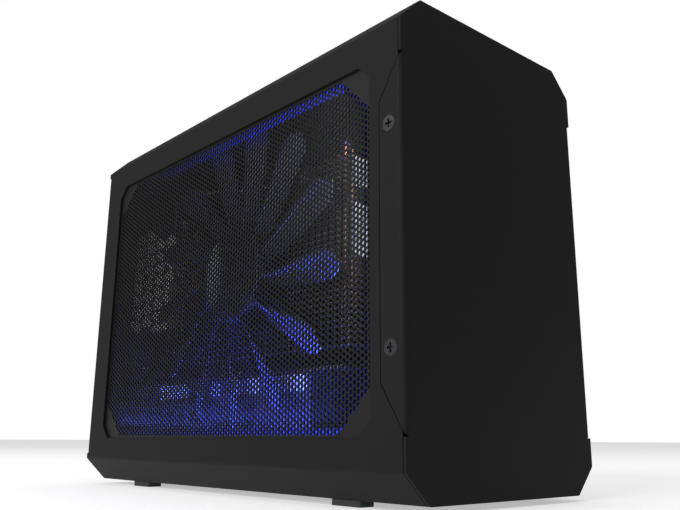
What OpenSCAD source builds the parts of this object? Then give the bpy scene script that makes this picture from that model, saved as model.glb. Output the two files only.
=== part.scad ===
// External graphics card enclosure: a folded steel case with a perforated window,
// a graphics card with a large open fan, a flat power supply and two circuit boards.
// The front faces -Y, the perforated window faces -X and the case stands on z = 0.

/* [Case] */
// Width of the case, left to right
case_w = 96; // [92:1:104]
// Depth of the case, front to back
case_d = 212; // [206:1:236]
// Height of the case without its feet
case_h = 162; // [160:1:176]
// Size of the cut along each of the four long edges
case_cut = 9.6; // [8.6:0.2:11]
// Thickness of the steel sheet
sheet_t = 1; // [0.8:0.1:1.2]
// Outer radius of the folds in the sheet
fold_r = 1.5; // [1.3:0.1:2.2]
// Gap between sheets that lie on each other
fit_gap = 0.15; // [0.1:0.05:0.2]
// Width of the lips folded under the case
lip_w = 9; // [8.6:0.2:11]
// Height of the base tray's side walls above the underside
tray_wall_h = 13; // [11:0.5:15]
// Distance of the rear flanges' ends from the top and bottom
flange_in = 12; // [11:0.5:20]
// Width of the rear flanges
flange_w = 7; // [6.4:0.2:8]

/* [Front cover] */
// Gap left as a seam behind the front plate
seam = 0.3; // [0.2:0.1:0.6]
// Distance of the side tabs' ends from the top and bottom of the case
tab_in = 20.5; // [18:0.5:26]
// Height that each end of a tab loses towards its inner edge
tab_slope = 15.5; // [11:0.5:18]
// Depth of the side tabs
tab_d = 10; // [9:0.5:12]
// Distance of the tabs' middle below the middle of the case
tab_drop = 1; // [0:0.5:3]
// Distance of the tab screws from the front face
tab_screw_in = 5.9; // [5.4:0.1:6.6]
// Distance of the tab screws from the ends of the tabs
tab_screw_end = 24.75; // [22:0.25:28]

/* [Window] */
// Width of the side's edge in front of and behind the window
window_end = 14.7; // [14.5:0.1:20]
// Height of the window's lower edge above the underside
window_low = 18.9; // [18:0.1:22]
// Width of the side's edge above the window
window_top = 20.9; // [20:0.1:24]
// Cut across the corners of the window
window_cut = 5.5; // [4.5:0.5:7]
// Width of the plain rim between the window's edge and the perforated field
mesh_rim = 1.1; // [1:0.1:6]
// Cut across the corners of the perforated field
mesh_cut = 14; // [10:1:18]
// Thickness of the perforated sheet
mesh_t = 0.8; // [0.6:0.1:1]
// Distance from hole to hole in the perforated field
hole_pitch = 8; // [7.5:0.5:12]
// Width of the bars between the holes
bar_w = 1.3; // [0.9:0.1:2]
// Overlap of the perforated sheet behind the window's edge
mesh_lap = 3; // [2:0.5:4]
// Thickness of the light guide behind the perforated sheet
guide_t = 2.2; // [1.6:0.2:2.4]
// Width of the light guide
guide_w = 3.4; // [3:0.2:4]

/* [Feet] */
// Height of the feet
foot_h = 2; // [1.5:0.5:3]
// Length of a foot
foot_l = 14; // [10:1:18]
// Width of a foot
foot_w = 6.5; // [5:0.5:7.5]
// Distance of the feet from the front and rear faces
foot_in = 30; // [24:1:40]

/* [Screws] */
// Thread diameter of the case screws
screw_d = 3; // [2.5:0.5:3]
// Head diameter of the case screws
screw_head_d = 5.3; // [5:0.1:5.8]
// Length of the case screws
screw_l = 5; // [4:0.5:6]

/* [Graphics card] */
// Distance of the card's circuit board from the front face
card_front = 37.85; // [36:0.05:44]
// Distance of the card's circuit board from the top of the case
card_top = 10.75; // [10:0.05:14]
// Thickness of the circuit boards
board_t = 1.6; // [1.2:0.2:2]
// Length of the card that the cooling fins leave free
fin_free_l = 46; // [44:1:60]
// Height of the card that the cooling fins leave free
fin_free_h = 22; // [21:1:30]
// Distance from fin to fin
fin_pitch = 2.2; // [2:0.1:3]
// Thickness of a fin
fin_t = 0.5; // [0.4:0.1:0.8]
// Diameter of a heat pipe
pipe_d = 6; // [5:0.5:8]
// Bend radius of a heat pipe at its centre line
pipe_bend = 9; // [8:0.5:10]
// Thickness of the cold plate
cold_plate_t = 5; // [4:0.5:6]
// Thickness of the processor package
chip_t = 1.9; // [1.5:0.1:2.5]
// Gap between the circuit board and the backplate
backplate_gap = 2.5; // [2:0.5:4]

/* [Card fan] */
// Room above and below the tips of the blades, on average
fan_room = 16; // [15:0.5:24]
// Diameter of the hub
fan_hub_d = 40.6; // [34:0.2:46]
// Depth of the blades along the shaft
fan_depth = 6.2; // [5:0.2:6.4]
// Number of blades
fan_blades = 13; // [7:1:13]
// Thickness of a blade
blade_t = 1.1; // [0.8:0.1:1.6]
// Distance of the fan's axis in front of the middle of the case
fan_forward = 4; // [0:1:8]
// Height of the fan's axis above the middle of the case
fan_rise = 3; // [1:0.5:4]
// Diameter of the fan's shaft
shaft_d = 3; // [2:0.5:4]
// Radial running clearance of the shafts
shaft_gap = 0.05; // [0.03:0.01:0.08]

/* [Power supply] */
// Distance of the power supply from the right side of the case
psu_side = 10.2; // [10.1:0.1:14]
// Height of the power supply
psu_h = 40.5; // [39.5:0.5:41]
// Distance of the power supply from the front face
psu_front = 59.7; // [52:0.1:68]
// Wall thickness of the power supply's case
psu_t = 0.8; // [0.6:0.1:1]
// Height of the lid's skirt
skirt_h = 10.7; // [9:0.1:12]
// Room beside the power supply's fan and inlet, all together
small_fan_room = 3.6; // [3.4:0.1:6]
// Depth of the power supply's fan frame
small_fan_depth = 20; // [15:1:28]

/* [Ports] */
// Width of the opening for the mains inlet
inlet_w = 27.4; // [27:0.1:28]
// Height of the opening for the mains inlet
inlet_h = 20; // [19.6:0.1:20.4]
// Distance between the square ports of the column
port_pitch = 17; // [15.5:0.5:18]

/* [Hidden] */

// Smoothness of round surfaces
$fn = 48;
// Size of a small overlap that joins two shapes of one piece
join = 0.02;

// Faces of the case
side_x = case_w / 2;
front_y = -case_d / 2;
rear_y = case_d / 2;
base_z = foot_h;
top_z = base_z + case_h;
middle_z = base_z + case_h / 2;
flange_h = case_h - 2 * flange_in;
tab_h = case_h - 2 * tab_in;
tab_inner_h = tab_h - 2 * tab_slope;
window_l = case_d - 2 * window_end;
window_h = case_h - window_low - window_top;
mesh_l = window_l - 2 * mesh_rim;
mesh_h = window_h - 2 * mesh_rim;
fan_d = case_h - 2 * fan_room;

black = [0.1, 0.1, 0.105];
steel = [0.7, 0.71, 0.73];
board_black = [0.05, 0.06, 0.06];
plastic_black = [0.08, 0.08, 0.09];
alu = [0.78, 0.79, 0.8];

// Shapes drawn in a plane and pushed along one axis from a to b
module along_x(a, b) {
    translate([a, 0, 0]) rotate([90, 0, 90]) linear_extrude(b - a) children();
}
module along_y(a, b) {
    translate([0, b, 0]) rotate([90, 0, 0]) linear_extrude(b - a) children();
}
module along_z(a, b) {
    translate([0, 0, a]) linear_extrude(b - a) children();
}
// A block given by its two corners
module block(a, b) {
    translate(a) cube(b - a);
}

// Outline of a rectangle with cut corners, centred on the origin
function cut_box(w, h, cut) = [
    [-w / 2 + cut, -h / 2], [w / 2 - cut, -h / 2], [w / 2, -h / 2 + cut], [w / 2, h / 2 - cut],
    [w / 2 - cut, h / 2], [-w / 2 + cut, h / 2], [-w / 2, h / 2 - cut], [-w / 2, -h / 2 + cut]];
// Outline of a plain rectangle, centred on the origin
function box_2d(w, h) = [[-w / 2, -h / 2], [w / 2, -h / 2], [w / 2, h / 2], [-w / 2, h / 2]];
function unit(v) = v / norm(v);
function turned(v, a) = [v.x * cos(a) - v.y * sin(a), v.x * sin(a) + v.y * cos(a)];
// Points of the arc that rounds the corner b between a and c
function corner_arc(a, b, c, r, n) =
    let (u = unit(a - b), v = unit(c - b), turn = 180 - acos(u * v),
        hand = sign(cross(b - a, c - b)),
        centre = b + unit(u + v) * r / cos(turn / 2), start = b + u * r * tan(turn / 2) - centre)
    [for (i = [0:n]) centre + turned(start, hand * turn * i / n)];
// Outline p with each corner rounded by radius r in n steps
function rounded(p, r, n = 4) = [for (i = [0:len(p) - 1])
    each corner_arc(p[(i + len(p) - 1) % len(p)], p[i], p[(i + 1) % len(p)], r, n)];
// Outline of the case, drawn in from the outer faces by a distance
function cut_inset(inset) = case_cut - inset * (2 - sqrt(2));
function case_outline(inset) = rounded(
    cut_box(case_w - 2 * inset, case_h - 2 * inset, cut_inset(inset)), max(fold_r - inset, 0.3), 3);
module case_section(inset) {
    translate([0, middle_z]) polygon(case_outline(inset));
}

function quad(a, b, c, d) = [[a, b, c], [a, c, d]];
// Points of the arc in space that rounds the corner b of the line a-b-c
function bend_arc(a, b, c, bend, n) =
    let (u = unit(a - b), v = unit(c - b), turn = 180 - acos(u * v),
        centre = b + unit(u + v) * bend / cos(turn / 2),
        e1 = unit(b + u * bend * tan(turn / 2) - centre))
    [for (i = [0:n]) centre + bend * (cos(turn * i / n) * e1 - sin(turn * i / n) * u)];
// A line in space with each inner corner rounded
function bent(p, bend, n) = [p[0], for (i = [1:len(p) - 2]) each bend_arc(p[i - 1], p[i], p[i + 1], bend, n),
    p[len(p) - 1]];
// A ring of points round a curve, square to it
function tube_ring(c, i, d, sides) =
    let (w = unit(c[min(i + 1, len(c) - 1)] - c[max(i - 1, 0)]), u = unit(cross([1, 1.2, 1.4], w)), v = cross(w, u))
    [for (k = [0:sides - 1]) c[i] + d / 2 * (cos(k * 360 / sides) * u + sin(k * 360 / sides) * v)];
// A round tube swept along a curve
module tube(c, d, n) {
    last = len(c) - 1;
    polyhedron([for (i = [0:last]) each tube_ring(c, i, d, n)], [
        [for (k = [0:n - 1]) n - 1 - k],
        for (i = [0:last - 1], k = [0:n - 1])
            each quad(i * n + k, i * n + (k + 1) % n, (i + 1) * n + (k + 1) % n, (i + 1) * n + k),
        [for (k = [0:n - 1]) last * n + k]]);
}

// A countersunk screw with a cross recess, its head level with z = 0
recess_w = 0.7;
recess_d = 0.9;
screw_gap = 0.05;
head_rim = 0.15;
head_cone = (screw_head_d - screw_d) / 2;
module flat_screw(l) {
    difference() {
        rotate_extrude() polygon([[0, 0], [screw_head_d / 2, 0], [screw_head_d / 2, -head_rim],
            [screw_d / 2, -head_rim - head_cone], [screw_d / 2, -l], [0, -l]]);
        for (a = [0, 90]) rotate([0, 0, a])
            translate([-screw_d / 2, -recess_w / 2, -recess_d]) cube([screw_d, recess_w, screw_d]);
    }
}
// The hole that takes the screw, cut through whatever it enters
module screw_hole() {
    r = screw_head_d / 2 + screw_gap;
    rotate_extrude() polygon([[0, join], [r, join], [r, -head_rim],
        [screw_d / 2 + screw_gap, -head_rim - head_cone],
        [screw_d / 2 + screw_gap, -screw_l - 1], [0, -screw_l - 1]]);
}

// The front cover: a cut-cornered plate with two side tabs folded back
tab_r = 1.8;
tab_z = middle_z - tab_drop;
tab_screw_gap = tab_h - 2 * tab_screw_end;
tab_x = side_x - sheet_t;
module tab_outline(grow) {
    y0 = front_y - join;
    y1 = front_y + tab_d + grow;
    polygon([[y0, tab_z - tab_h / 2 - grow], [y1, tab_z - tab_inner_h / 2 - grow],
        [y1, tab_z + tab_inner_h / 2 + grow], [y0, tab_z + tab_h / 2 + grow]]);
}
// The tabs' fold seen from above: a channel with round outer corners
module tab_channel() {
    depth = 2 * tab_d;
    left = [-side_x, front_y];
    right = [side_x, front_y];
    difference() {
        polygon([each corner_arc(left + [0, depth], left, right, tab_r, 4),
            each corner_arc(left, right, right + [0, depth], tab_r, 4), right + [0, depth], left + [0, depth]]);
        translate([-tab_x, front_y + sheet_t]) square([2 * tab_x, depth]);
    }
}
module at_tab_screws() {
    for (s = [-1, 1], z = [-1, 1])
        translate([s * side_x, front_y + tab_screw_in, middle_z + z * tab_screw_gap / 2])
            rotate([0, s * 90, 0]) children();
}
module front_cover() color(black) difference() {
    union() {
        difference() {
            along_y(front_y, front_y + sheet_t) case_section(0);
            for (s = [-1, 1]) translate([s * side_x, 0, 0])
                block([-tab_r, front_y - 1, tab_z - tab_h / 2], [tab_r, front_y + sheet_t + 1, tab_z + tab_h / 2]);
        }
        intersection() {
            along_z(base_z, top_z) tab_channel();
            along_x(-side_x, side_x) tab_outline(0);
        }
    }
    at_tab_screws() screw_hole();
}

// The wrap cover: one sheet folded round both sides, the top and the four long edges
wrap_front = front_y + sheet_t + seam;
rear_screw_end = 8;
rear_screw_off = 0.4;
base_screw_in = 16;
module at_rear_screws() {
    for (s = [-1, 1], z = [-1, 1])
        translate([s * (side_x - flange_w / 2 - rear_screw_off), rear_y,
                middle_z + z * (flange_h / 2 - rear_screw_end)]) rotate([-90, 0, 0]) children();
}
module at_base_screws() {
    for (s = [-1, 1], y = [front_y + base_screw_in, 0, rear_y - base_screw_in])
        translate([s * (side_x - case_cut - lip_w / 2), y, base_z]) rotate([180, 0, 0]) children();
}
window_z = base_z + window_low + window_h / 2;
vent_pitch = 6;
vent_w = 4.4;
vent_rows = 9;
vent_cols = 12;
module wrap_cover() color(black) difference() {
    union() {
        along_y(wrap_front, rear_y) difference() {
            case_section(0);
            case_section(sheet_t);
            translate([-side_x + case_cut + lip_w, base_z - 1])
                square([case_w - 2 * (case_cut + lip_w), 2 * sheet_t + 1]);
        }
        for (s = [-1, 1]) scale([s, 1, 1])
            block([side_x - flange_w, rear_y - sheet_t, middle_z - flange_h / 2],
                [side_x - sheet_t + join, rear_y, middle_z + flange_h / 2]);
    }
    // the folded rear edge is round on the outside
    for (s = [-1, 1]) scale([s, 1, 1])
        along_z(middle_z - flange_h / 2, middle_z + flange_h / 2)
            difference() {
                translate([side_x - fold_r, rear_y - fold_r]) square(2 * fold_r);
                translate([side_x - fold_r, rear_y - fold_r]) circle(r = fold_r);
            }
    // window in the left side
    along_x(-side_x - 1, -side_x + sheet_t + join)
        translate([0, window_z]) polygon(cut_box(window_l, window_h, window_cut));
    // notches for the front cover's tabs
    for (s = [-1, 1]) translate([s * side_x, 0, 0])
        along_x(-sheet_t - join, sheet_t + join) tab_outline(seam);
    // vent holes in the right side
    for (i = [0:vent_cols - 1], k = [0:vent_rows - 1])
        translate([side_x - sheet_t - 1, (i - (vent_cols - 1) / 2) * vent_pitch + (k % 2) * vent_pitch / 2,
                window_z + (k - (vent_rows - 1) / 2) * vent_pitch * cos(30)])
            rotate([0, 90, 0]) cylinder(d = vent_w, h = sheet_t + 2, $fn = 6);
    at_rear_screws() screw_hole();
    at_base_screws() screw_hole();
}

// The base tray: floor and low side walls that follow the inside of the wrap
inner = sheet_t + fit_gap;
tray_top = base_z + inner + sheet_t;
rear_out = rear_y - inner;
rear_in = rear_out - sheet_t;
module base_tray() color(black) difference() {
    along_y(wrap_front, rear_in - fit_gap) intersection() {
        difference() {
            case_section(inner);
            case_section(inner + sheet_t);
        }
        translate([-side_x, base_z]) square([case_w, tray_wall_h]);
    }
    at_base_screws() screw_hole();
}

// The rear panel: a flat plate behind the wrap's flanges with the openings for the ports
card_x = 2;
bracket_w = 39;
bracket_left = card_x + board_t + 1 - bracket_w;
bracket_low = base_z + 47;
bracket_high = top_z - 8;
card_opening_in = 2.5;
module rear_panel() color(black) difference() {
    along_y(rear_in, rear_out) difference() {
        case_section(inner);
        // opening for the card's bracket
        translate([bracket_left + card_opening_in, bracket_low + card_opening_in])
            square([bracket_w - 2 * card_opening_in, bracket_high - bracket_low - 2 * card_opening_in]);
        // opening for the power supply's rear face
        translate([psu_x0 + psu_rim, psu_z0 + psu_rim])
            square([psu_w - 2 * psu_rim, psu_h - 2 * psu_rim]);
        for (z = port_heights()) translate([port_x, z])
            square([port_w + 2 * port_gap, port_l + 2 * port_gap], center = true);
        translate([port_x, type_c_z])
            polygon(rounded(box_2d(type_c_w + 2 * port_gap, type_c_l + 2 * port_gap), 1.2, 4));
    }
    at_rear_screws() screw_hole();
}

// The front frame: a bulkhead that the front cover's tabs are screwed to
frame_front = front_y + 3.2;
frame_short = 14;
frame_y = -window_l / 2 - mesh_lap - fit_gap - sheet_t;
frame_rim = 12;
frame_wall_h = tab_h - frame_short;
module front_frame() color(black) difference() {
    union() {
        along_y(frame_y, frame_y + sheet_t) difference() {
            case_section(inner);
            translate([-side_x, base_z]) square([case_w, tray_wall_h + fit_gap]);
            translate([0, window_z])
                polygon(cut_box(case_w - 2 * inner - 2 * frame_rim, window_h, window_cut));
        }
        for (s = [-1, 1]) scale([s, 1, 1])
            block([side_x - inner - sheet_t, frame_front, tab_z - frame_wall_h / 2],
                [side_x - inner, frame_y + join, tab_z + frame_wall_h / 2]);
    }
    at_tab_screws() screw_hole();
}

// The perforated sheet behind the window
mesh_x = -side_x + inner;
mesh_back = mesh_x + mesh_t;
// Centres of the holes that fall inside the cut-cornered field
hole_r = (hole_pitch - bar_w) / 2 / cos(30);
field_l = mesh_l / 2 - hole_pitch / 2;
field_h = mesh_h / 2 - hole_pitch / 2;
function in_field(p) = abs(p.x) <= field_l && abs(p.y) <= field_h
    && abs(p.x) + abs(p.y) <= field_l + field_h - mesh_cut;
hole_cols = floor(field_l / (hole_pitch * cos(30)));
hole_rows = floor(field_h / hole_pitch);
hole_centres = [for (i = [-hole_cols:hole_cols], k = [-hole_rows - 1:hole_rows])
    let (p = [i * hole_pitch * cos(30), (k + (abs(i) % 2) / 2) * hole_pitch]) if (in_field(p)) p];
module window_mesh() color([0.12, 0.12, 0.13])
    along_x(mesh_x, mesh_back) translate([0, window_z]) difference() {
        polygon(cut_box(window_l + 2 * mesh_lap, window_h + 2 * mesh_lap, window_cut));
        for (c = hole_centres) translate(c) circle(r = hole_r, $fn = 6);
    }

// The light guide: a clear ring that lights the edge of the perforated field
guide_x = mesh_back + fit_gap;
guide_back = guide_x + guide_t;
// Places along X of what lies behind it: the rotor, the arms and the fins
rotor_gap = 0.6;
frame_gap = 0.4;
arm_t = 1.6;
boss_h = 1.2;
rotor_x0 = guide_back + rotor_gap;
rotor_x1 = rotor_x0 + fan_depth;
arm_x = rotor_x1 + frame_gap;
arm_back = arm_x + arm_t;
guide_out = 1.2;
module light_guide() color([0.2, 0.35, 1]) along_x(guide_x, guide_back) translate([0, window_z])
    difference() {
        polygon(cut_box(mesh_l + 2 * guide_out, mesh_h + 2 * guide_out, mesh_cut));
        polygon(cut_box(mesh_l + 2 * guide_out - 2 * guide_w, mesh_h + 2 * guide_out - 2 * guide_w,
            mesh_cut - guide_w * (2 - sqrt(2))));
    }
// The strip of lamps that feeds the light guide's long edges
led_t = 0.3;
led_l = 3;
led_pitch = 16;
led_count = floor((mesh_l - 2 * mesh_cut) / led_pitch);
module led_strip() color([0.85, 0.88, 1]) for (s = [-1, 1]) {
    low = s * (mesh_h / 2 + guide_out + fit_gap);
    along_x(guide_x, guide_back) translate([0, window_z]) {
        translate([-mesh_l / 2 + mesh_cut, s > 0 ? low + led_t : low - 2 * led_t])
            square([mesh_l - 2 * mesh_cut, led_t]);
        for (i = [0:led_count - 1])
            translate([(i - (led_count - 1) / 2) * led_pitch, s > 0 ? low + led_t / 2 : low - led_t / 2])
                square([led_l, led_t + join], center = true);
    }
}

// The four feet under the lips
module feet() color([0.06, 0.06, 0.06])
    for (s = [-1, 1], y = [front_y + foot_in, rear_y - foot_in - foot_l])
        translate([s * (side_x - case_cut - 0.4 - foot_w / 2) - foot_w / 2, y, 0])
            along_z(0, foot_h) translate([foot_w / 2, foot_l / 2])
                polygon(rounded(box_2d(foot_w, foot_l), 0.8, 3));

module tab_screws() color(steel * 0.5) at_tab_screws() flat_screw(screw_l);
module rear_screws() color(steel * 0.5) at_rear_screws() flat_screw(screw_l);
// The screws from below end level with the tray's floor
module base_screws() color(steel * 0.5) at_base_screws() flat_screw(tray_top - base_z);

// The power supply's place on the base tray
psu_gap = 0.3;
psu_x0 = arm_back + psu_gap;
psu_x1 = side_x - psu_side;
psu_w = psu_x1 - psu_x0;
psu_z0 = tray_top;
psu_y0 = front_y + psu_front;
psu_y1 = rear_in - fit_gap;
psu_rim = 2;
psu_top = psu_z0 + psu_h;

// The chassis: a shelf over the power supply and an upright wall on the right
shelf_z = psu_top + 0.2;
shelf_in = 2;
shelf_top = shelf_z + sheet_t;
wall_x = side_x - inner - sheet_t;
chassis_y0 = front_y + 44;
chassis_top = top_z - 16;
wall_hole_d = 9;
wall_hole_z = chassis_top - 14;
wall_hole_pitch = 22;
module chassis() color(steel) difference() {
    along_y(chassis_y0, rear_in) polygon([[psu_x0 + shelf_in, shelf_z], [side_x - inner, shelf_z],
        [side_x - inner, chassis_top], [wall_x, chassis_top], [wall_x, shelf_top],
        [psu_x0 + shelf_in, shelf_top]]);
    for (k = [-2, -1, 1, 2, 3]) translate([wall_x - 1, k * wall_hole_pitch, wall_hole_z])
        rotate([0, 90, 0]) cylinder(d = wall_hole_d, h = 2 * sheet_t + 2);
}

// The riser board lies on standoffs above the shelf and carries the card's slot
standoff_h = 2;
riser_z = shelf_top + standoff_h;
riser_top = riser_z + board_t;
slot_w = 8.8;
slot_h = 11.2;
slot_y = 2;
slot_floor = 3;
slot_end = 3.5;
card_mid_x = card_x + board_t / 2;
finger_l = 84;
slot_l = finger_l + 2 * slot_end;
finger_h = slot_h - slot_floor + 0.6;
card_z0 = riser_top + slot_floor + finger_h;
card_z1 = top_z - card_top;
card_h = card_z1 - card_z0;
card_y0 = front_y + card_front;
card_y1 = rear_in - 4;
card_l = card_y1 - card_y0;
fin_l = card_l - fin_free_l;
fin_stack_h = card_h - fin_free_h;
riser_x0 = -10;
main_x = wall_x - standoff_h - board_t;
riser_y0 = slot_y - slot_l / 2 - 12.5;
riser_y1 = slot_y + slot_l / 2 + 10.5;
post_hole_d = 3.2;
post_in = 4;
wall_post_in = 5;
wall_post_rear = 20;
module riser_board() color(board_black) difference() {
    block([riser_x0, riser_y0, riser_z], [main_x - 1, riser_y1, riser_top]);
    at_riser_posts() cylinder(d = post_hole_d, h = 4 * board_t, center = true);
}
module at_riser_posts() {
    for (x = [riser_x0 + post_in, main_x - 2 - post_in], y = [riser_y0 + post_in, riser_y1 - post_in])
        translate([x, y, riser_z]) children();
}
module at_wall_posts() {
    for (y = [main_y0 + wall_post_in, main_y1 - wall_post_rear], z = [main_z0 + wall_post_in, main_z1 - wall_post_in])
        translate([wall_x, y, z]) rotate([0, -90, 0]) children();
}
main_y0 = front_y + 66;
main_y1 = rear_y - screw_l - 0.2;
main_z0 = base_z + 52;
main_z1 = top_z - 18;
// Each standoff carries a screw head that holds its board down
module post() {
    cylinder(d = 5.5, h = standoff_h, $fn = 6);
    cylinder(d = 3, h = standoff_h + board_t + join);
    translate([0, 0, standoff_h + board_t]) difference() {
        cylinder(d = 5.4, h = 1.6);
        for (a = [0, 90]) rotate([0, 0, a]) translate([-1.6, -0.4, 0.8]) cube([3.2, 0.8, 2]);
    }
}
module board_standoffs() color([0.8, 0.7, 0.4]) {
    at_wall_posts() post();
    at_riser_posts() translate([0, 0, -standoff_h]) post();
}

slot_play = 0.1;
key_w = 1.6;
key_y = slot_y + finger_l / 2 - 12;
module pcie_slot() color(plastic_black) {
    difference() {
        block([card_mid_x - slot_w / 2, slot_y - slot_l / 2, riser_top],
            [card_mid_x + slot_w / 2, slot_y + slot_l / 2, riser_top + slot_h]);
        // groove for the contact edge, with the key left standing in it
        difference() {
            block([card_mid_x - board_t / 2 - slot_play, slot_y - finger_l / 2 - slot_play, riser_top + slot_floor],
                [card_mid_x + board_t / 2 + slot_play, slot_y + finger_l / 2 + slot_play, riser_top + slot_h + 1]);
            block([card_mid_x - slot_w / 2, key_y - key_w / 2, riser_top],
                [card_mid_x + slot_w / 2, key_y + key_w / 2, riser_top + slot_h]);
        }
    }
    // two ears and a pin carry the latch
    for (s = [-1, 1]) translate([card_mid_x, 0, 0]) scale([s, 1, 1])
        block([latch_w / 2 + latch_play, latch_y - 2.2, riser_top],
            [slot_w / 2, slot_y - slot_l / 2 + join, latch_z + 2.4]);
    translate([card_mid_x - slot_w / 2 + join, latch_y, latch_z]) rotate([0, 90, 0])
        cylinder(r = latch_pin_r, h = slot_w - 2 * join);
}

// The latch tips about its pin at the slot's front end
latch_y = slot_y - slot_l / 2 - 2.8;
latch_z = riser_top + 3;
latch_w = 2.8;
latch_play = 0.2;
latch_pin_r = 0.9;
module slot_latch() color([0.75, 0.75, 0.78]) difference() {
    along_x(card_mid_x - latch_w / 2, card_mid_x + latch_w / 2) translate([latch_y, latch_z]) polygon([
        [-2.2, -1.8], [1.6, -1.8], [2, 1.5], [1.2, 4.2], [2, 6.4], [0.6, 7.9], [-1.6, 6.4],
        [-6.4, 7.6], [-7.8, 6.2], [-2.4, 3.2]]);
    translate([card_mid_x - latch_w, latch_y, latch_z]) rotate([0, 90, 0])
        cylinder(r = latch_pin_r + shaft_gap, h = 2 * latch_w);
}

// The graphics card's circuit board with its contact edge
board_back = card_x + board_t;
module gpu_board() color(board_black) difference() {
    along_x(card_x, board_back) difference() {
        union() {
            polygon([[card_y0, card_z0 + 3], [card_y0 + 3, card_z0], [card_y1, card_z0],
                [card_y1, card_z1], [card_y0 + 3, card_z1], [card_y0, card_z1 - 3]]);
            translate([slot_y - finger_l / 2, card_z0 - finger_h]) square([finger_l, finger_h + join]);
        }
        translate([key_y - key_w / 2 - slot_play, card_z0 - finger_h - 1])
            square([key_w + 2 * slot_play, finger_h + 1]);
    }
    at_card_posts() cylinder(d = post_hole_d, h = 4 * board_t, center = true);
    at_bracket_screws() cylinder(d = post_hole_d, h = 4 * board_t, center = true);
}
card_inset = 6;
module at_card_posts() {
    for (y = [card_y0 + card_inset, card_y1 - 3 * card_inset], z = [card_z0 + card_inset, card_z1 - card_inset])
        translate([board_back, y, z]) rotate([0, 90, 0]) children();
}
// The backplate stands off the board on four bosses
module gpu_backplate() color([0.16, 0.16, 0.17]) {
    x = board_back + backplate_gap;
    difference() {
        along_x(x, x + sheet_t) difference() {
            translate([(card_y0 + card_y1) / 2, (card_z0 + card_z1) / 2])
                polygon(cut_box(card_l - 10, card_h - 4, 6));
            for (i = [0:5]) translate([card_y0 + 30 + 9 * i, card_z0 + 14]) rotate(60)
                polygon(rounded(box_2d(18, 3), 1.4, 3));
        }
        at_card_posts() cylinder(d = 2.6, h = 20);
    }
    at_card_posts() difference() {
        cylinder(d = 5, h = backplate_gap + join);
        cylinder(d = 2.6, h = 20, center = true);
    }
}

// The card's bracket with its rows of hexagonal vents
bracket_y1 = rear_in - fit_gap;
bracket_y0 = bracket_y1 - sheet_t;
bracket_vent = 5.6;
bracket_vent_low = base_z + 74;
bracket_vent_rows = 8;
module gpu_bracket() color(steel) difference() {
    union() {
        block([bracket_left, bracket_y0, bracket_low], [bracket_left + bracket_w, bracket_y1, bracket_high]);
        // lug folded over at the top
        block([bracket_left, bracket_y0 - 9, bracket_high - sheet_t],
            [bracket_left + bracket_w, bracket_y1, bracket_high]);
        // lug that holds the circuit board
        for (z = [card_z0 + 8, card_z1 - 12])
            block([board_back, card_y1 - 9, z], [board_back + sheet_t, bracket_y1, z + 8]);
    }
    for (i = [0:3], k = [0:bracket_vent_rows - 1])
        translate([bracket_left + 5.4 + i * (bracket_vent + 0.9) * cos(30), bracket_y0 - 1,
                bracket_vent_low + (k + (i % 2) / 2) * (bracket_vent + 0.9)])
            rotate([-90, 0, 0]) cylinder(r = bracket_vent / 2 / cos(30), h = 4, $fn = 6);
    // openings for the card's ports
    for (p = port_list) translate([p.x, 0, p.y])
        block([-p[2] / 2 - port_gap, bracket_y0 - 1, -p[3] / 2 - port_gap],
            [p[2] / 2 + port_gap, bracket_y1 + 1, p[3] / 2 + port_gap]);
    at_bracket_screws() cylinder(d = 3.3, h = 10, center = true);
}
module at_bracket_screws() {
    for (z = [card_z0 + 12, card_z1 - 8]) translate([board_back + sheet_t, card_y1 - 5, z])
        rotate([0, 90, 0]) children();
}
module bracket_screws() color(steel) at_bracket_screws() {
    translate([0, 0, -sheet_t - 1]) cylinder(d = 2.8, h = sheet_t + 1 + join);
    difference() {
        cylinder(d = 5, h = 1.5);
        for (a = [0, 90]) rotate([0, 0, a]) translate([-1.5, -0.4, 0.7]) cube([3, 0.8, 2]);
    }
}
// The card's ports: centre x, centre z, width in x and height in z
port_gap = 0.3;
port_row_x = card_x - 8;
second_row_x = bracket_left + 10.6;
port_list = [[port_row_x, card_z0 + 22, 8.6, 37], [port_row_x, card_z0 + 54, 8, 17],
    [port_row_x, card_z0 + 76, 8, 17], [second_row_x, bracket_low + 15, 8, 17]];
port_d = 15;
module port_shell(p, wall) {
    difference() {
        block([p.x - p[2] / 2, rear_in - port_d, p.y - p[3] / 2], [p.x + p[2] / 2, rear_out, p.y + p[3] / 2]);
        block([p.x - p[2] / 2 + wall, rear_in - port_d + 2, p.y - p[3] / 2 + wall],
            [p.x + p[2] / 2 - wall, rear_out + 1, p.y + p[3] / 2 - wall]);
    }
    block([p.x - 0.8, rear_in - port_d + 1, p.y - p[3] / 2 + wall + 1.5],
        [p.x + 0.8, rear_out - 2, p.y + p[3] / 2 - wall - 1.5]);
}
module dvi_port() color([0.85, 0.85, 0.86]) {
    p = port_list[0];
    difference() {
        block([p.x - p[2] / 2, rear_in - port_d, p.y - p[3] / 2], [p.x + p[2] / 2, rear_out, p.y + p[3] / 2]);
        for (i = [0:7], k = [-1, 0, 1])
            translate([p.x + k * 2.2, rear_out - 8, p.y - 12 + i * 2.6]) rotate([-90, 0, 0])
                cylinder(d = 1.2, h = 9, $fn = 16);
        translate([p.x - 2.6, rear_out - 8, p.y + 10]) cube([5.2, 9, 0.8]);
    }
    block([p.x + p[2] / 2 - join, rear_in - port_d, p.y - p[3] / 2], [card_x, rear_in - 6, p.y + p[3] / 2]);
}
module display_ports() color([0.7, 0.7, 0.72]) for (i = [1:3]) port_shell(port_list[i], 0.5);

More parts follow.
